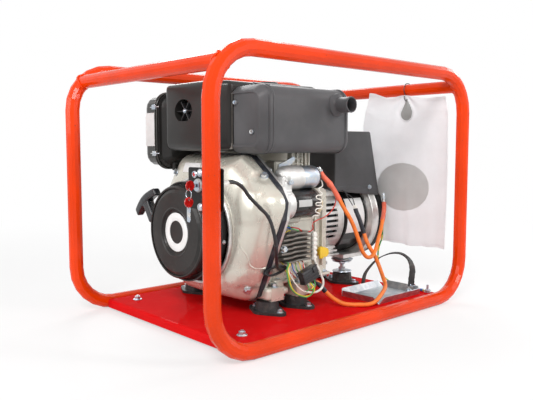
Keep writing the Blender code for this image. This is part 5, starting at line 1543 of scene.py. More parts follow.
class WELDER_OT_engine_trim(bpy.types.Operator):
    """Make the engine's cast feet, bolts, ribs, fuel pipes and filler trim"""

    bl_idname = "welder.engine_trim"
    bl_label = "Engine trim"

    def execute(self, context):
        for i, (x, y) in enumerate(ENGINE_MOUNTS):
            side = -1 if y < 0 else 1
            reach = sorted((y + side * 0.016, y - side * 0.02))
            foot = cast(
                f"cast_foot_{i + 1}", 8,
                block("pad", ((x - 0.0185, y - 0.0215, 0.0555), (x + 0.0215, y + 0.0215, 0.0832)), 0.006, 4),
                block("arm", ((x - 0.01, reach[0], 0.06), (x + 0.056, reach[1], 0.078)), 0.008, 4),
                block("rib", ((x + 0.016, y - 0.006, 0.065), (x + 0.048, y + 0.006, 0.096)), 0.005, 3),
            )
            dressed(foot, "cream_casting")
        spots = [(x, y) for x in (-0.11, -0.03) for y in (-0.1095, 0.19)]
        places = [standing((x, y, 0.0821), UP, 0.4 * x) for x, y in spots]
        scatter(screw("foot_bolt", 0.0125, 0.0068, washer=0.0095, thick=0.0015), places, "zinc_plate")

        stays = [
            block(f"stay_{i}", ((x0, -0.076, 0.353), (x1, -0.064, 0.388)), 0.002, 2)
            for i, (x0, x1) in enumerate(((-0.026, 0.013), (0.019, 0.037)))
        ]
        stays += [
            block(f"stay_rib_{i}", ((x, -0.08, 0.353), (x + 0.005, -0.075, 0.388)), 0.001, 1)
            for i, x in enumerate((-0.0255, -0.0085, 0.0075, 0.0195, 0.0315))
        ]
        stays += [
            block(f"stay_bar_{i}", ((-0.0255, -0.0795, z), (0.0125, -0.075, z + 0.004)), 0.001, 1)
            for i, z in enumerate((0.36, 0.373))
        ]
        dressed(join("muffler_stay", *stays), "cream_casting")

        near = [
            block(name, corners, edge * MM, segments)
            for name, corners, edge, segments in (
                ("pump_base", "-70 -112 224, -30 -94 242", 5, 3),
                ("pump_rib_1", "-30 -104 228, 30 -94 233", 2, 2),
                ("pump_rib_2", "33 -102 110, 38 -94 233", 2, 2),
                ("pump_rib_3", "58 -102 110, 63 -94 270", 2, 2),
                ("low_rail", "-115 -104 84, 88 -94 92", 3, 3),
            )
        ]
        drain = turned("drain_boss", "0 0, 13 0, 13 6, 11.5 8, 8.5 8, 8.5 14, 7 15.5, 0 15.5", 32)
        near.append(place(drain, standing((0.015, -0.094, 0.11), NEAR)))
        dressed(join("near_castings", *near), "cream_casting")
        line = "-50 -106 240, -50 -112 250, -35 -113 256, 10 -108 254, 42 -101 250, 60 -96 244"
        dressed(run("oil_pipe", line, 0.0026, 10), "zinc_plate")

        places = [standing((0.0902, y, 0.288), ALTERNATOR_SIDE) for y in (-0.07, 0.0, 0.08, 0.15)]
        places += [standing((0.0902, y, 0.11), ALTERNATOR_SIDE) for y in (-0.082, 0.15)]
        for x in (-0.085, -0.045, -0.005, 0.035, 0.075):
            places.append(standing((x, -0.0952, 0.092), NEAR))
            places += [standing((x, 0.1656, z), FAR) for z in (0.11, 0.28)]
        scatter(screw("case_bolt", 0.008, 0.0042, washer=0.006, thick=0.001), places, "zinc_plate")

        # The far side's cover, oil filter bowl and fuel filter, the filler ring and the dipstick's wing.
        dressed(block("timing_cover", "-90 164 120, 62 178 270", 0.012, 4), "silver_lacquer")
        for name, profile, steps, at, way, finish in (
            ("oil_bowl", "0 0, 24 0, 26 3, 26 12, 23 16, 8 18, 7 24, 0 24", 40, (-0.045, 0.1778, 0.165), FAR,
             "bright_casting"),
            ("fuel_filter", "0 0, 12 0, 15 3, 15 34, 12 38, 5 40, 5 48, 0 48", 28, (0.04, 0.19, 0.33), UP,
             "white_plastic"),
        ):
            dressed(place(turned(name, profile, steps), standing(at, way)), finish)
        for name, route, radius in (
            ("fuel_hose", "40 190 377, 40 188 400, 45 178 430, 52 160 455, 56 140 479", 0.004),
            ("pump_hose", "40 190 331, 40 192 310, 36 190 292, 30 180 282, 24 168 276", 0.0035),
        ):
            dressed(run(name, route, radius, 10), "black_wire")
        dressed(block("filter_clip", "23 164 344, 57 190 354", 0.002, 2), "zinc_plate")
        neck = turned("filler_ring", "30 0, 34.5 0, 34.5 1.5, 32.5 2.2, 30 1.6", 60, True)
        dressed(place(neck, Matrix.Translation((0.0609, 0.102, 0.5556))), "zinc_plate")
        dressed(
            block("dipstick_wing", "36 -117.2 130, 51 -110.5 159", 0.003, 3), "yellow_plastic", body="gauge",
        )
        return {"FINISHED"}


# Cables.

STARTER_ROUTE = in_metres(
    "17.4 -133 342.4, 22.9 -138 331.9, 36.4 -143 317.9, 54.4 -150 290.8, 80.7 -153 253.9, 102.5 -156 224.3, "
    "117.5 -158 196.8, 132.3 -159 166.6, 151.6 -158 135.2, 178 -154 122.5, 200.9 -150 128.6, "
    "231.1 -140 161.5, 262.7 -125 190.1, 297.5 -105 219.4, 324.9 -86 238, 331.5 -80 247"
)
OUTPUT_ROUTE = in_metres(
    "187.5 -100 238.4, 187.9 -112 216.1, 194.6 -122 179.3, 197.3 -135 150.3, 211 -145 122.1, 219 -150 102, "
    "216 -162 84, 207 -178 67, 192 -195 58, 170 -210 53, 145 -224 51, 118 -233 43, 98 -235 35, 81 -228 31, "
    "66 -216 31, 52 -203 31, 40 -190 33, 30 -177 40, 20 -164 51, 9 -154 66, -2 -146 82, -20 -138 90"
)
LOOM_ROUTE = in_metres(
    "-346.8 -210 332, -335 -210 332, -300 -194 334, -270 -186 324, -245 -183 300, -220 -186 277, "
    "-200 -189 257, -188 -192 226, -176 -187 192, -160 -172 158, -142 -154 140, -121 -140 130, -98 -130 128"
)
EARTH_ROUTE = in_metres(
    "356.3 -60 215, 356.3 -57.5 180, 356.3 -55.7 146, 356 -47 120, 356 -43 98, 354.5 -48 70, 352 -62 43, "
    "340 -95 29, 321.6 -128.4 28.5, 318.8 -188.5 28.5, 315.5 -215 28.5, 315.5 -225.5 29"
)


class WELDER_OT_cables(bpy.types.Operator):
    """Lay the heavy cables, the key loom and the earth wire, with their sleeves and lugs"""

    bl_idname = "welder.cables"
    bl_label = "Cables"

    def execute(self, context):
        dressed(run("starter_lead", STARTER_ROUTE, 0.005, 14), "orange_jacket", node="starter_cable")
        dressed(run("output_lead", OUTPUT_ROUTE, 0.005, 14), "orange_jacket", node="output_cable")
        loom = run("key_loom_wrap", LOOM_ROUTE, 0.0039, 12)
        wraps = []
        for i in range(1, len(LOOM_ROUTE) - 1):
            here, onward = Vector(LOOM_ROUTE[i]), Vector(LOOM_ROUTE[i + 1])
            ring = turned(f"wrap_{i}", "3.6 -3, 4.3 -2.5, 4.3 2.5, 3.6 3", 14, closed=True)
            wraps.append(place(ring, standing(here, onward - Vector(LOOM_ROUTE[i - 1]))))
        loom = join("key_loom_wrap", loom, *wraps)
        dressed(smooth(loom, 50), "black_wire", node="key_loom")
        dressed(run("earth_lead", EARTH_ROUTE, 0.00225, 10), "earth_stripe", node="earth_wire")

        upper = list(map(Vector, STARTER_ROUTE[:5]))
        sleeve = run("starter_sleeve", [*upper[:4], upper[3].lerp(upper[4], 0.4)], 0.0061, 14)
        flare = turned("flare", "5.2 -7, 6.6 -6, 7.5 0, 6.6 6, 5.2 7", 20, closed=True)
        place(flare, standing(upper[2].lerp(upper[3], 0.15), upper[3] - upper[2]))
        sleeve = join("starter_sleeve", sleeve, flare)
        dressed(smooth(sleeve, 60), "salmon_sleeve")
        end = list(map(Vector, STARTER_ROUTE[-4:]))
        dressed(run("battery_sleeve", [end[0].lerp(end[1], 0.5), *end[1:]], 0.006, 14), "salmon_sleeve")

        lug = block("lug_barrel", "-4.2 -4.2 -10, 4.2 4.2 8", 0.0018, 3)
        place(lug, standing((0.016, -0.131, 0.3475), (-0.35, 0.15, 0.75)))
        palm = turned("palm", "3.6 -1, 7.8 -1, 7.8 1, 3.6 1", 24, closed=True)
        place(palm, standing((0.018, STARTER_Y, 0.345), ALTERNATOR_SIDE))
        dressed(join("starter_lug", lug, palm), "nickel_plate")
        lug = block("tail_lug", "-3.4 -1.2 -16, 3.4 1.2 13", 0.001, 2)
        barrel = turned("tail_barrel", "0 -18, 4.2 -18, 4.6 -12, 4.2 -3, 0 -3", 18)
        lug = join("battery_lug", lug, barrel)
        dressed(place(lug, standing((0.333, -0.078, 0.262), (0.06, 0.1, 1))), "nickel_plate")

        top = list(map(Vector, OUTPUT_ROUTE[:3]))
        dressed(run("output_sleeve", [top[0] + Vector((0, 0.001, 0.004)), *top], 0.0057, 14), "seal_rubber")
        crimp = block("output_crimp", "-4.5 -4.5 -6, 4.5 4.5 7", 0.002, 3)
        dressed(place(crimp, standing((0.188, -0.097, 0.245), (-0.2, 0.2, 1))), "white_plastic")
        sleeve = run("output_tail_sleeve", "12 -157 61, 3 -150 74.5, -8 -142.5 85, -20 -138 90", 0.0058, 14)
        dressed(sleeve, "seal_rubber")
        dressed(
            run("loom_boot", "-347.5 -210 332, -335 -210 332, -322 -204.5 333.5", 0.0062, 14),
            "white_plastic",
        )
        blue = run("earth_lug_sleeve", "318.8 -195 28.7, 316 -212 28.8, 315.5 -223 29.2", 0.0034, 12)
        dressed(blue, "blue_plastic")
        palm = turned("earth_palm", "4.2 0, 8.8 0, 8.8 1.6, 4.2 1.6", 24, closed=True)
        dressed(place(palm, Matrix.Translation((0.3165, -0.236, 0.0295))), "nickel_plate")
        return {"FINISHED"}


# Alternator and control box.

SHAFT = SHAFT_Y, SHAFT_Z = 0.045, 0.208


class WELDER_OT_alternator(bpy.types.Operator):
    """Make the alternator's rims, tie bolts and blank plate, and fold the control box"""

    bl_idname = "welder.alternator"
    bl_label = "Alternator and control box"

    def control_box(self):
        plan = [(0.145, 0.288), (0.33, 0.268), (0.287, 0.443), (0.145, 0.443)]
        rounded = rounded_outline(plan, 0.006, 4)
        piece = outlined("control_cover", rounded, 0.22)
        place(piece, laid((0, 0.155, 0), 90, "X"))
        with Shaping(piece) as work:
            work.sharp(0.9, lambda edge: abs(edge.verts[0].co.y - edge.verts[1].co.y) < 1e-6)
            work.bevel(0.0035, 3)
            work.outward(0)
        return smooth(piece, 30)

    def execute(self, context):
        dressed(self.control_box(), "box_paint", node="control_box")
        flap = block("cover_flap", "150 -66.3 292, 282 -64.8 300", 0.0005, 1)
        with Shaping(flap) as work:
            work.facing(ALTERNATOR_SIDE, 0.8)
            work.move((0, 0, -0.014))
        dressed(flap, "box_paint")
        bolt = screw("cover_screw", 0.009, 0.0036, washer=0.0062, thick=0.001)
        places = [standing((0.284, -0.0655, 0.293), NEAR), standing((0.16, -0.0655, 0.428), NEAR)]
        places += [
            standing((x, 0.1556, z), FAR)
            for x, z in ((0.284, 0.293), (0.16, 0.305), (0.16, 0.428), (0.275, 0.428))
        ]
        scatter(bolt, places, "zinc_plate")

        # Louvres on the far side, pressed outwards.
        louvre = start("cube", "far_louvre", size=1, location=(0, 0, 0), scale=(0.07, 0.003, 0.006))
        with Shaping(louvre) as work:
            work.facing(FAR)
            work.scale((0.94, 1, 0.35), (0, 0.0015, -0.003))
            work.sharp(0.5)
            work.bevel(0.0006, 2)
        places = [Matrix.Translation((0.212, 0.156, 0.326 + 0.014 * i)) for i in range(6)]
        scatter(smooth(louvre, 25), places, "box_paint")

        for name, x, radius, grow in (
            ("front_rim", 0.1975, 0.0957, 0.0022), ("rear_rim_inner", 0.2885, 0.1222, 0.002),
            ("rear_rim_outer", 0.3105, 0.1222, 0.002),
        ):
            section = [
                (radius - 0.004, x - 0.0024), (radius, x - 0.0018), (radius + grow * 0.3, x),
                (radius, x + 0.0018), (radius - 0.004, x + 0.0024),
            ]
            dressed(along_x(name, section, SHAFT, 96, closed=True), "bright_casting")

        bolt = screw("tie_bolt", 0.009, 0.005, washer=0.0072, thick=0.001)
        places = []
        for x, radius, first, count in ((0.313, 0.1185, 45, 4), (0.3528, 0.105, 30, 6)):
            for i in range(count):
                turn = math.radians(first + 360 / count * i)
                spot = (x, SHAFT_Y + radius * math.cos(turn), SHAFT_Z + radius * math.sin(turn))
                places.append(standing(spot, ALTERNATOR_SIDE))
        scatter(bolt, places, "zinc_plate")

        vane = block("rear_vane", "352 -4 48, 354.8 4 90", 0.0012, 2)
        scatter(vane, [laid((0, *SHAFT), 20 * i, "X") for i in range(18)], "panel_paint")
        dressed(
            along_x("bearing_cap", "0 352.5, 30 352.5, 30 355, 27 356.5, 0 356.5", SHAFT), "bright_casting",
        )

        thick = context.scene.welder_sizes.label
        plate = cylinder_patch("alternator_plate", SHAFT, 0.1, (0.208, 0.278), (-112, -57), thick, 24)
        dressed(plate, "blank_white")
        bands = []
        for i, x in enumerate((0.2035, 0.2825)):
            section = [(0.0985, x - 0.002), (0.1008, x - 0.0015), (0.1008, x + 0.0015), (0.0985, x + 0.002)]
            bands.append(along_x(f"band_{i}", section, SHAFT, 96, closed=True))
        dressed(join("stator_bands", *bands), "stator_paint")
        ribs = [block("boss", "130 -38 116, 172 0 140", 0.002, 2)]
        for i, (x, y) in enumerate(((0.176, -0.04), (0.18, -0.044), (0.184, -0.047))):
            ribs.append(
                block(
                    f"boss_rib_{i}", ((0.124, y, 0.134 - 0.0095 * i), (x, 0.0, 0.1395 - 0.0095 * i)), 0.0012,
                    2,
                )
            )
        ribs.append(block("top_boss", "129 -40 273, 184 0 292.5", 0.0035, 3))
        dressed(join("front_bosses", *ribs), "bright_casting")
        return {"FINISHED"}


# Mounts, plate, tray and frame.


class WELDER_OT_fasteners(bpy.types.Operator):
    """Put the bolts, nuts and washers on the mounts and the base plate"""

    bl_idname = "welder.fasteners"
    bl_label = "Mount and plate fasteners"

    def execute(self, context):
        stands = [(0.25, 0.0), (0.25, 0.118)]
        flange = screw("flange_bolt", 0.0095, 0.0052, washer=0.0075, thick=0.0012)
        places = [
            standing((x, y + side * 0.0425, 0.0312), UP, x * 7 + y)
            for x, y in ENGINE_MOUNTS + stands for side in (-1, 1)
        ]
        scatter(flange, places, "zinc_plate")

        cup = turned("mount_washer", "9 0, 23.5 0, 24.2 0.6, 23.5 1.4, 9 1.4", 40, closed=True)
        scatter(cup, [Matrix.Translation((x, y, 0.0505)) for x, y in ENGINE_MOUNTS], "zinc_plate")

        stack = [
            turned("dish", "7 89, 20 88, 30 89.5, 30.2 91.5, 24 95, 15 96.2, 7 96.2", 48, closed=True),
            turned("thin", "7 84, 26.2 84, 26.5 84.8, 26.2 85.6, 7 85.6", 48, closed=True),
            turned("low", "6 56.5, 26.2 56, 26.8 57, 26.2 58.2, 6 58.2", 48, closed=True),
            turned("stud", "3.5 58, 5.4 58.2, 5.4 84.2, 3.5 84.2", 24, closed=True),
        ]
        nut = screw("stack_nut", 0.017, 0.0085)
        place(nut, Matrix.Translation((0, 0, 0.059)))
        second = screw("stack_nut_2", 0.016, 0.007)
        place(second, Matrix.Translation((0, 0, 0.0768)))
        whole = join("stand_stack", *stack, nut, second)
        scatter(whole, [Matrix.Translation((x, y, 0)) for x, y in stands], "zinc_plate")

        across = context.scene.welder_sizes.plate_bolt
        bolt = screw("plate_bolt", across, 0.0062, washer=across * 0.86, thick=0.0018, shank=0.003)
        places = [
            standing((sx * 0.283, sy * 0.202, 0.025), UP, 0.5 * sx + sy)
            for sx in (-1, 1) for sy in (-1, 1)
        ]
        scatter(bolt, places, "zinc_plate")
        return {"FINISHED"}


STRAP_ROUTE = in_metres(
    "228 -93.7 26.2, 230 -94 45, 236.4 -95 65.4, 256.5 -101 87.8, 265.9 -118 106.4, 279.6 -145 120.4, "
    "295 -167 120.5, 291 -195 109, 290.5 -206 86, 284.5 -208 60, 284 -208 43"
)


class WELDER_OT_battery_tray(bpy.types.Operator):
    """Fold the battery tray's flaps, and lay the strap with its moulded end and hook"""

    bl_idname = "welder.battery_tray"
    bl_label = "Battery tray"

    def strap(self):
        """The flat band, twisted a little on its way, with the ridges of its moulded end."""
        route = list(map(Vector, STRAP_ROUTE))
        count = 60
        stations = []
        for k in range(count + 1):
            share = k / count * (len(route) - 1)
            i = min(int(share), len(route) - 2)
            t = share - i
            a, b, c, d = route[max(i - 1, 0)], route[i], route[i + 1], route[min(i + 2, len(route) - 1)]
            bend, twist = 2 * a - 5 * b + 4 * c - d, 3 * b - a - 3 * c + d
            stations.append(0.5 * (2 * b + (c - a) * t + bend * t * t + twist * t * t * t))
        band = start("grid", "band", x_subdivisions=8, y_subdivisions=count, size=1)
        for corner in band.data.vertices:
            side, along = corner.co.x * 2, corner.co.y + 0.5
            here = stations[round(along * count)]
            turn = math.radians(26 + 34 * soft_step(along, 0.62, 0.86) - 10 * soft_step(along, 0.25, 0.5))
            across = Vector((-math.sin(turn + 0.9), -math.cos(turn + 0.9), 0))
            wide = 0.0092 * (1 + 0.12 * soft_step(along, 0.68, 0.75) * math.sin(along * 130) ** 2)
            corner.co = here + across * side * wide
        with Shaping(band) as work:
            work.outward(1e-6)
        apply(band, "SOLIDIFY", thickness=0.0026, offset=0)
        dressed(smooth(band, 40), "strap_rubber", node="battery_strap")

    def execute(self, context):
        low, high, notch, lean = 0.0256, 0.0424, 0.02, 0.009
        x0, x1, y0, y1 = 0.121, 0.287, -0.231, -0.114
        sheet = start("plane", "tray", size=2)
        for corner in sheet.data.vertices:
            corner.co = (x1 if corner.co.x > 0 else x0, y1 if corner.co.y > 0 else y0, low)
        sides = {
            (-1, 0): ((x0, y0), (x0, y1)), (1, 0): ((x1, y0), (x1, y1)), (0, -1): ((x0, y0), (x1, y0)),
            (0, 1): ((x0, y1), (x1, y1)),
        }
        flaps = [sheet]
        for (ox, oy), ((ax, ay), (bx, by)) in sides.items():
            flap = start("plane", f"flap_{ox}_{oy}", size=2)
            low_a, low_b = Vector((ax, ay, low)), Vector((bx, by, low))
            out = Vector((ox * lean, oy * lean, high - low))
            cut_in = (low_b - low_a).normalized() * notch
            spots = (low_a, low_b, low_a + cut_in * 0.5 + out, low_b - cut_in * 0.5 + out)
            for corner, spot in zip(flap.data.vertices, spots):
                corner.co = spot
            flaps.append(flap)
        tray = join("tray_sheet", *flaps)
        with Shaping(tray) as work:
            work.outward(1e-5)
        apply(tray, "SOLIDIFY", thickness=0.0016, offset=0)
        dressed(tray, "galvanised", node="battery_tray")
        self.strap()
        rivet = screw("tray_rivet", 0.0075, 0.0022, round_head=True)
        places = [standing((x, y, 0.0265), UP) for x in (0.135, 0.273) for y in (-0.215, -0.13)]
        scatter(rivet, places, "zinc_plate")
        hook = run(
            "strap_hook",
            "279 -207.5 48, 285 -208 44, 290.5 -208 45, 295.5 -208 46.2, 299 -208 44, 299.2 -208 38",
            0.0017, 10,
        )
        plate = block("hook_plate", "275 -215 42, 290 -201 44.5", 0.001, 2)
        dressed(join("strap_hook", hook, plate), "nickel_plate")
        return {"FINISHED"}


class WELDER_OT_frame_welds(bpy.types.Operator):
    """Run the weld beads where the frame's upper bars meet the side loops"""

    bl_idname = "welder.frame_welds"
    bl_label = "Frame welds"

    def execute(self, context):
        bead = context.scene.welder_sizes.bead
        tube, loop_y, bar_x, bar_z = 0.016, 0.27, 0.3809, 0.5559
        number = 0
        for side in (-1, 1):
            for end in (-1, 1):
                points = []
                for k in range(20):
                    turn = 2 * math.pi * k / 20
                    out = tube + 0.0006
                    dx, dz = out * math.cos(turn), out * math.sin(turn)
                    lean = (dx * end + dz) / math.sqrt(2)
                    cap = math.sqrt(max(0.0, tube * tube - lean * lean))
                    points.append((end * bar_x + dx, side * (loop_y - cap - 0.0004), bar_z + dz))
                number += 1
                weld = run(f"bar_weld_{number}", points, bead, 8, cyclic=True)
                ripple = weld.modifiers.new("ripple", "DISPLACE")
                texture = bpy.data.textures.new(f"ripple_{number}", "CLOUDS")
                texture.noise_scale = 0.004
                ripple.texture, ripple.strength, ripple.mid_level = texture, 0.0012, 0.5
                only(weld)
                bpy.ops.object.modifier_apply(modifier=ripple.name)
                dressed(weld, "frame_paint")
        return {"FINISHED"}


# Document bag and pull rope.

BAG_X = 0.3626
BAG_COLUMNS, BAG_ROWS = 80, 120
BAG_FAR = ((0.0017, 0.5545), (0.023, 0.455), (-0.012, 0.33), (-0.0471, 0.132))
BAG_NEAR = ((-0.2477, 0.532), (-0.257, 0.49), (-0.259, 0.3), (-0.255, 0.132))
BAG_TOP = ((0.0, 0.5545), (0.32, 0.5365), (0.48, 0.5415), (0.75, 0.5305), (1.0, 0.532))
TIE_Y, TIE_Z = -0.1246, 0.545
DROP_Y, DROP_Z, DROP_LOW, DROP_TALL = -0.1278, 0.492, 0.0185, 0.04


def along_line(line, share):
    """The other value of a line of pairs where its first value is a share."""
    for (a, one), (b, two) in zip(line, line[1:]):
        if share <= b or (b, two) == line[-1]:
            t = soft_step(share, a, b)
            return one + (two - one) * t


def edge_at(line, z):
    return along_line(tuple((0.56 - high, y) for y, high in line), 0.56 - z)


def bag_bottom(across):
    return 0.1345 + 0.0015 * math.sin(across * 9.0) + 0.001 * math.sin(across * 23.0)


def bag_spot(across, down, waves):
    """A point of the hung film: across runs from the far edge to the near one, down from the top."""
    top = along_line(BAG_TOP, across)
    bottom = bag_bottom(across)
    z = top + (bottom - top) * down
    far, near = edge_at(BAG_FAR, z), edge_at(BAG_NEAR, z)
    y = far + (near - far) * across
    hang = 0.35 + 0.65 * down
    depth = (
        0.42 * math.sin(across * 11.0 + 1.2 * math.sin(down * 3.0))
        + 0.22 * math.sin(across * 25.0 - down * 2.2 + 0.8)
        + 0.22 * math.sin(across * 6.0 + down * 9.0)
        + 0.12 * math.sin(across * 41.0 + down * 5.0) * down
    )
    drop = math.hypot(y - TIE_Y, z - TIE_Z)
    pull = math.exp(-((drop / 0.1) ** 2)) * math.sin(math.atan2(z - TIE_Z, y - TIE_Y) * 8.0)
    fold = math.exp(-(((down - 0.12 - 0.03 * math.sin(across * 5.0)) / 0.025) ** 2))
    return Vector((BAG_X + waves * (0.5 * depth * hang + 0.4 * pull - 0.3 * fold), y, z))


def spot_at(y, z, waves):
    """The film's point that lies at a Y and a Z."""
    far, near = edge_at(BAG_FAR, z), edge_at(BAG_NEAR, z)
    across = (y - far) / (near - far)
    top = along_line(BAG_TOP, across)
    bottom = bag_bottom(across)
    return bag_spot(across, (z - top) / (bottom - top), waves)


def drop_reach(turn):
    """The distance from the middle of the drop-shaped hole to its edge, from straight up."""
    touch = math.acos(DROP_LOW / DROP_TALL)
    return DROP_LOW / math.cos(touch - abs(turn)) if abs(turn) < touch else DROP_LOW


class WELDER_OT_document_bag(bpy.types.Operator):
    """Hang the film document bag with its hems, eyelet, tie and blank oval sticker"""

    bl_idname = "welder.document_bag"
    bl_label = "Document bag"

    def execute(self, context):
        waves = context.scene.welder_sizes.bag_wave
        bag = start("grid", "bag_film", x_subdivisions=BAG_COLUMNS, y_subdivisions=BAG_ROWS, size=1)
        for corner in bag.data.vertices:
            corner.co = bag_spot(corner.co.x + 0.5, 0.5 - corner.co.y, waves)
        inside = set()
        for corner in bag.data.vertices:
            dy, dz = corner.co.y - DROP_Y, corner.co.z - DROP_Z
            edge = drop_reach(math.atan2(dy, dz))
            away = math.hypot(dy, dz)
            if away < edge:
                if away > edge - 0.004:
                    corner.co.y, corner.co.z = DROP_Y + dy * edge / away, DROP_Z + dz * edge / away
                else:
                    inside.add(corner.index)
        with Shaping(bag) as work:
            work.corners(lambda v: v.index in inside)
            bpy.ops.mesh.delete(type="VERT")
            work.outward(0)
        apply(bag, "SOLIDIFY", thickness=0.0005, offset=0)
        apply(bag, "SUBSURF", levels=1, render_levels=1)
        smooth(bag, 80)

        def seam(name, spots, radius):
            return run(name, [bag_spot(a, d, waves) for a, d in spots], radius, 8)

        near_hem = seam("bag_near_hem", [(0.985, i / 24) for i in range(25)], 0.0007)
        low_hem = seam("bag_low_hem", [(i / 30, 0.98) for i in range(31)], 0.0007)
        top_hem = seam("bag_top_hem", [(i / 24, 0.018) for i in range(25)], 0.0006)
        back = start("circle", "bag_back", vertices=64, radius=1, fill_type="TRIFAN")
        for corner in back.data.vertices:
            turn = math.atan2(corner.co.x, corner.co.y)
            wide = (drop_reach(turn) + 0.003) if corner.co.length > 0.5 else 0.0
            y, z = DROP_Y + wide * math.sin(turn), DROP_Z + wide * math.cos(turn)
            corner.co = spot_at(y, z, waves) + Vector((0.0016, 0, 0))
        apply(back, "SOLIDIFY", thickness=0.0004, offset=0)
        dressed(smooth(back, 60), "grey_plastic")
        for hem in (near_hem, low_hem, top_hem):
            dressed(hem, "milky_film")

        thick = context.scene.welder_sizes.label
        sticker = start("circle", "bag_sticker", vertices=72, radius=1, fill_type="TRIFAN")
        with Shaping(sticker) as work:
            work.everything()
            bpy.ops.mesh.subdivide(number_cuts=5)
        for corner in sticker.data.vertices:
            y, z = -0.118 + corner.co.x * 0.086, 0.2925 + corner.co.y * 0.065
            corner.co = spot_at(y, z, waves) + Vector((-0.0007, 0, 0))
        with Shaping(sticker) as work:
            work.outward(1e-5)
        face_recoil_side(sticker)
        apply(sticker, "SOLIDIFY", thickness=thick, offset=1)
        dressed(smooth(sticker, 60), "blank_film")

        ring = []
        for k in range(15):
            turn = math.radians(-130 + 300 * k / 14)
            rise = math.sin(turn)
            ring.append((0.3809 - 0.0185 * math.cos(turn), -0.1175 + 0.001 * rise, 0.5559 + 0.0185 * rise))
        tie = run(
            "bag_tie",
            [
                (0.36, -0.125, 0.525), (0.3585, -0.1215, 0.537), *ring[3:], (0.366, -0.124, 0.53),
                (0.3625, -0.125, 0.5245),
            ],
            0.0011, 8,
        )
        dressed(tie, "black_plastic")
        dressed(bag, "milky_film", node="document_bag")
        return {"FINISHED"}


ROPE_WAY = Vector((0, 0.563, 0.8265)).normalized()
ROPE_START = Vector((-0.2564, 0.045, 0.208)) + Vector((0, 0.8265, -0.563)).normalized() * 0.086


class WELDER_OT_pull_rope(bpy.types.Operator):
    """Lead the starter rope from the reel's boss to the T grip, and mould the grip"""

    bl_idname = "welder.pull_rope"
    bl_label = "Pull rope"

    def execute(self, context):
        count = 40
        rope = run(
            "pull_rope", [ROPE_START + ROPE_WAY * (0.03 + 0.1 * i / count) for i in range(count + 1)],
            0.0022, 10,
        )
        rope.data.materials.clear()
        rope.data.materials.append(FINISHES["rope_fibre"])
        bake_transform(rope)

        # The T grip, across the rope, on the stem that seats on the boss.
        grip = block("grip", "-13 -52 -9, 13 52 11", 0.0045, 3)
        with Shaping(grip) as work:
            work.everything()
            bpy.ops.mesh.subdivide(number_cuts=6)
        for corner in grip.data.vertices:
            share = corner.co.y / 0.052
            corner.co.z -= 0.009 * share * share
            corner.co.x *= 1 - 0.28 * abs(share)
        stem = block("stem", "-10.5 -12 -59, 10.5 12 -2", 0.004, 3)
        handle = cast("pull_handle", 8, grip, stem)
        across = ROPE_WAY.cross(Vector((1, 0, 0)))
        turn = Matrix((Vector((1, 0, 0)), across, ROPE_WAY)).transposed().to_4x4()
        place(handle, Matrix.Translation(ROPE_START + ROPE_WAY * 0.137) @ turn)
        dressed(handle, "grip_plastic", body="handle", node="recoil_handle")
        return {"FINISHED"}


# Stage.


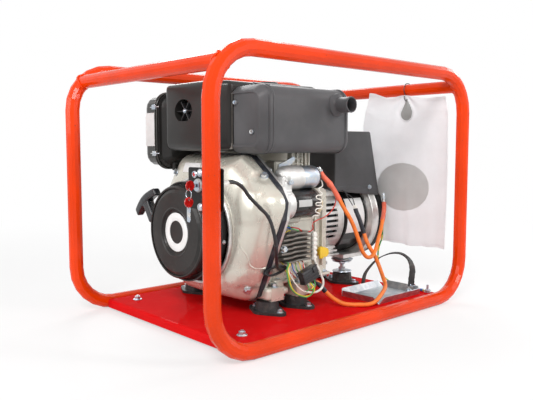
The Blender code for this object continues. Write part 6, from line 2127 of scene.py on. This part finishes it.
class WELDER_OT_stage(bpy.types.Operator):
    """Make the pale floor, the soft lamps, the world and the camera"""

    bl_idname = "welder.stage"
    bl_label = "Studio stage"

    def softbox(self, name, at, aim, width, height, power):
        lamp = bpy.data.lights.new(name, "AREA")
        lamp.shape = "RECTANGLE"
        lamp.size, lamp.size_y = width, height
        lamp.energy = power
        holder = bpy.data.objects.new(name, lamp)
        holder.location = at
        holder.rotation_euler = (Vector(aim) - Vector(at)).to_track_quat("-Z", "Y").to_euler()
        bpy.context.scene.collection.objects.link(holder)

    def execute(self, context):
        stage = context.scene.welder_stage
        floor = start("circle", "studio_floor", vertices=96, radius=9, fill_type="NGON")
        sweep = Finish("floor_white", roughness=0.6, specular=0.2)
        mottle = sweep.noise(0.6, 3.0)
        sweep.set(base_color=sweep.mix(mottle, (0.8, 0.8, 0.8), (0.83, 0.83, 0.83)))
        away = sweep.node("ShaderNodeVectorMath", {"operation": "LENGTH"}, {0: sweep.place()}, "Value")
        rays = sweep.node("ShaderNodeLightPath", result="Is Camera Ray")
        mirrored = sweep.node("ShaderNodeLightPath", result="Is Glossy Ray")
        path = sweep.node("ShaderNodeMath", {"operation": "MAXIMUM"}, {0: rays, 1: mirrored * 0.5})
        glow = sweep.node("ShaderNodeEmission", sockets={"Color": (1, 1, 1, 1), "Strength": 1.0})
        seen = sweep.node(
            "ShaderNodeMixShader",
            sockets={
                0: path * away.between(0.7, 2.2, 0.55, 1.0), 1: Reading(sweep, sweep.shader.outputs[0]),
                2: glow,
            },
        )
        sweep.tree.links.new(seen.socket, sweep.tree.nodes["Material Output"].inputs["Surface"])
        floor.data.materials.append(sweep.material)

        aim = (0.0, 0.0, 0.28)
        level = stage.lamp_level
        self.softbox("key_softbox", (-1.9, -1.5, 2.0), aim, 1.0, 0.8, 52 * level)
        self.softbox("front_softbox", (0.9, -2.4, 1.3), aim, 0.5, 1.2, 27 * level)
        self.softbox("left_softbox", (-2.5, 0.6, 1.1), aim, 1.2, 1.3, 22 * level)
        self.softbox("back_softbox", (1.4, 2.1, 1.9), aim, 1.8, 1.2, 34 * level)
        self.softbox("film_softbox", (2.3, -0.5, 1.1), (0.36, -0.12, 0.35), 1.2, 1.2, 20 * level)

        world = bpy.data.worlds.new("studio_world")
        context.scene.world = world
        world.use_nodes = True
        tree = world.node_tree
        sky = tree.nodes["Background"]
        sky.inputs["Color"].default_value = (1, 1, 1, 1)
        sky.inputs["Strength"].default_value = stage.world_level
        white = tree.nodes.new("ShaderNodeBackground")
        white.inputs["Color"].default_value = (1, 1, 1, 1)
        white.inputs["Strength"].default_value = 1.0
        rays = tree.nodes.new("ShaderNodeLightPath")
        seen = rays.outputs["Is Camera Ray"]
        for kind in ("Is Transmission Ray", "Is Glossy Ray"):
            either = tree.nodes.new("ShaderNodeMath")
            either.operation = "MAXIMUM"
            tree.links.new(seen, either.inputs[0])
            tree.links.new(rays.outputs[kind], either.inputs[1])
            seen = either.outputs[0]
        blend = tree.nodes.new("ShaderNodeMixShader")
        tree.links.new(seen, blend.inputs[0])
        tree.links.new(sky.outputs[0], blend.inputs[1])
        tree.links.new(white.outputs[0], blend.inputs[2])
        tree.links.new(blend.outputs[0], tree.nodes["World Output"].inputs["Surface"])

        lens = bpy.data.cameras.new("set_camera")
        lens.lens = stage.lens
        lens.sensor_width = 36
        lens.clip_start, lens.clip_end = 0.01, 60
        camera = bpy.data.objects.new("set_camera", lens)
        camera.location = (-1.0853, -1.1643, 0.4048)
        camera.rotation_euler = Euler((math.radians(90 - 4.87), 0, math.radians(-42.07)), "XYZ")
        context.scene.collection.objects.link(camera)
        context.scene.camera = camera
        context.scene.view_settings.view_transform = "Standard"
        return {"FINISHED"}


class WelderStage(bpy.types.PropertyGroup):
    lens: bpy.props.FloatProperty(
        name="Lens", description="Focal length of the camera in millimetres", default=42.97, min=10
    )
    lamp_level: bpy.props.FloatProperty(
        name="Lamp level", description="Share of the softboxes' full power", default=1.0, min=0
    )
    world_level: bpy.props.FloatProperty(
        name="World level", description="Strength of the even light from all round", default=0.34, min=0
    )


BUILDERS = (
    WELDER_OT_finishes,
    WELDER_OT_fan_housing,
    WELDER_OT_recoil_starter,
    WELDER_OT_air_cleaner,
    WELDER_OT_muffler,
    WELDER_OT_key_panel,
    WELDER_OT_starter,
    WELDER_OT_regulator,
    WELDER_OT_engine_trim,
    WELDER_OT_cables,
    WELDER_OT_alternator,
    WELDER_OT_fasteners,
    WELDER_OT_battery_tray,
    WELDER_OT_frame_welds,
    WELDER_OT_document_bag,
    WELDER_OT_pull_rope,
    WELDER_OT_stage,
)


class WELDER_PT_sidebar(bpy.types.Panel):
    """Lists the sizes, the colours and the builders of the set"""

    bl_label = "Welder set"
    bl_idname = "WELDER_PT_sidebar"
    bl_space_type = "VIEW_3D"
    bl_region_type = "UI"
    bl_category = "Welder set"

    def draw(self, context):
        scene = context.scene
        for group in (scene.welder_colours, scene.welder_sizes, scene.welder_stage):
            box = self.layout.box()
            for key in group.bl_rna.properties.keys():
                if key not in ("rna_type", "name"):
                    box.prop(group, key)
        column = self.layout.column(align=True)
        for builder in BUILDERS:
            column.operator(builder.bl_idname)


GROUPS = {
    "welder_colours": WelderColours,
    "welder_sizes": WelderSizes,
    "welder_stage": WelderStage,
}


def register():
    for group in GROUPS.values():
        bpy.utils.register_class(group)
    for key, group in GROUPS.items():
        setattr(bpy.types.Scene, key, bpy.props.PointerProperty(type=group))
    for builder in BUILDERS:
        bpy.utils.register_class(builder)
    bpy.utils.register_class(WELDER_PT_sidebar)


def unregister():
    bpy.utils.unregister_class(WELDER_PT_sidebar)
    for builder in reversed(BUILDERS):
        bpy.utils.unregister_class(builder)
    for key in GROUPS:
        delattr(bpy.types.Scene, key)
    for group in reversed(list(GROUPS.values())):
        bpy.utils.unregister_class(group)


def main():
    register()
    for builder in BUILDERS:
        family, call = builder.bl_idname.split(".")
        getattr(getattr(bpy.ops, family), call)()
    object_mode()


if __name__ == "__main__":
    main()
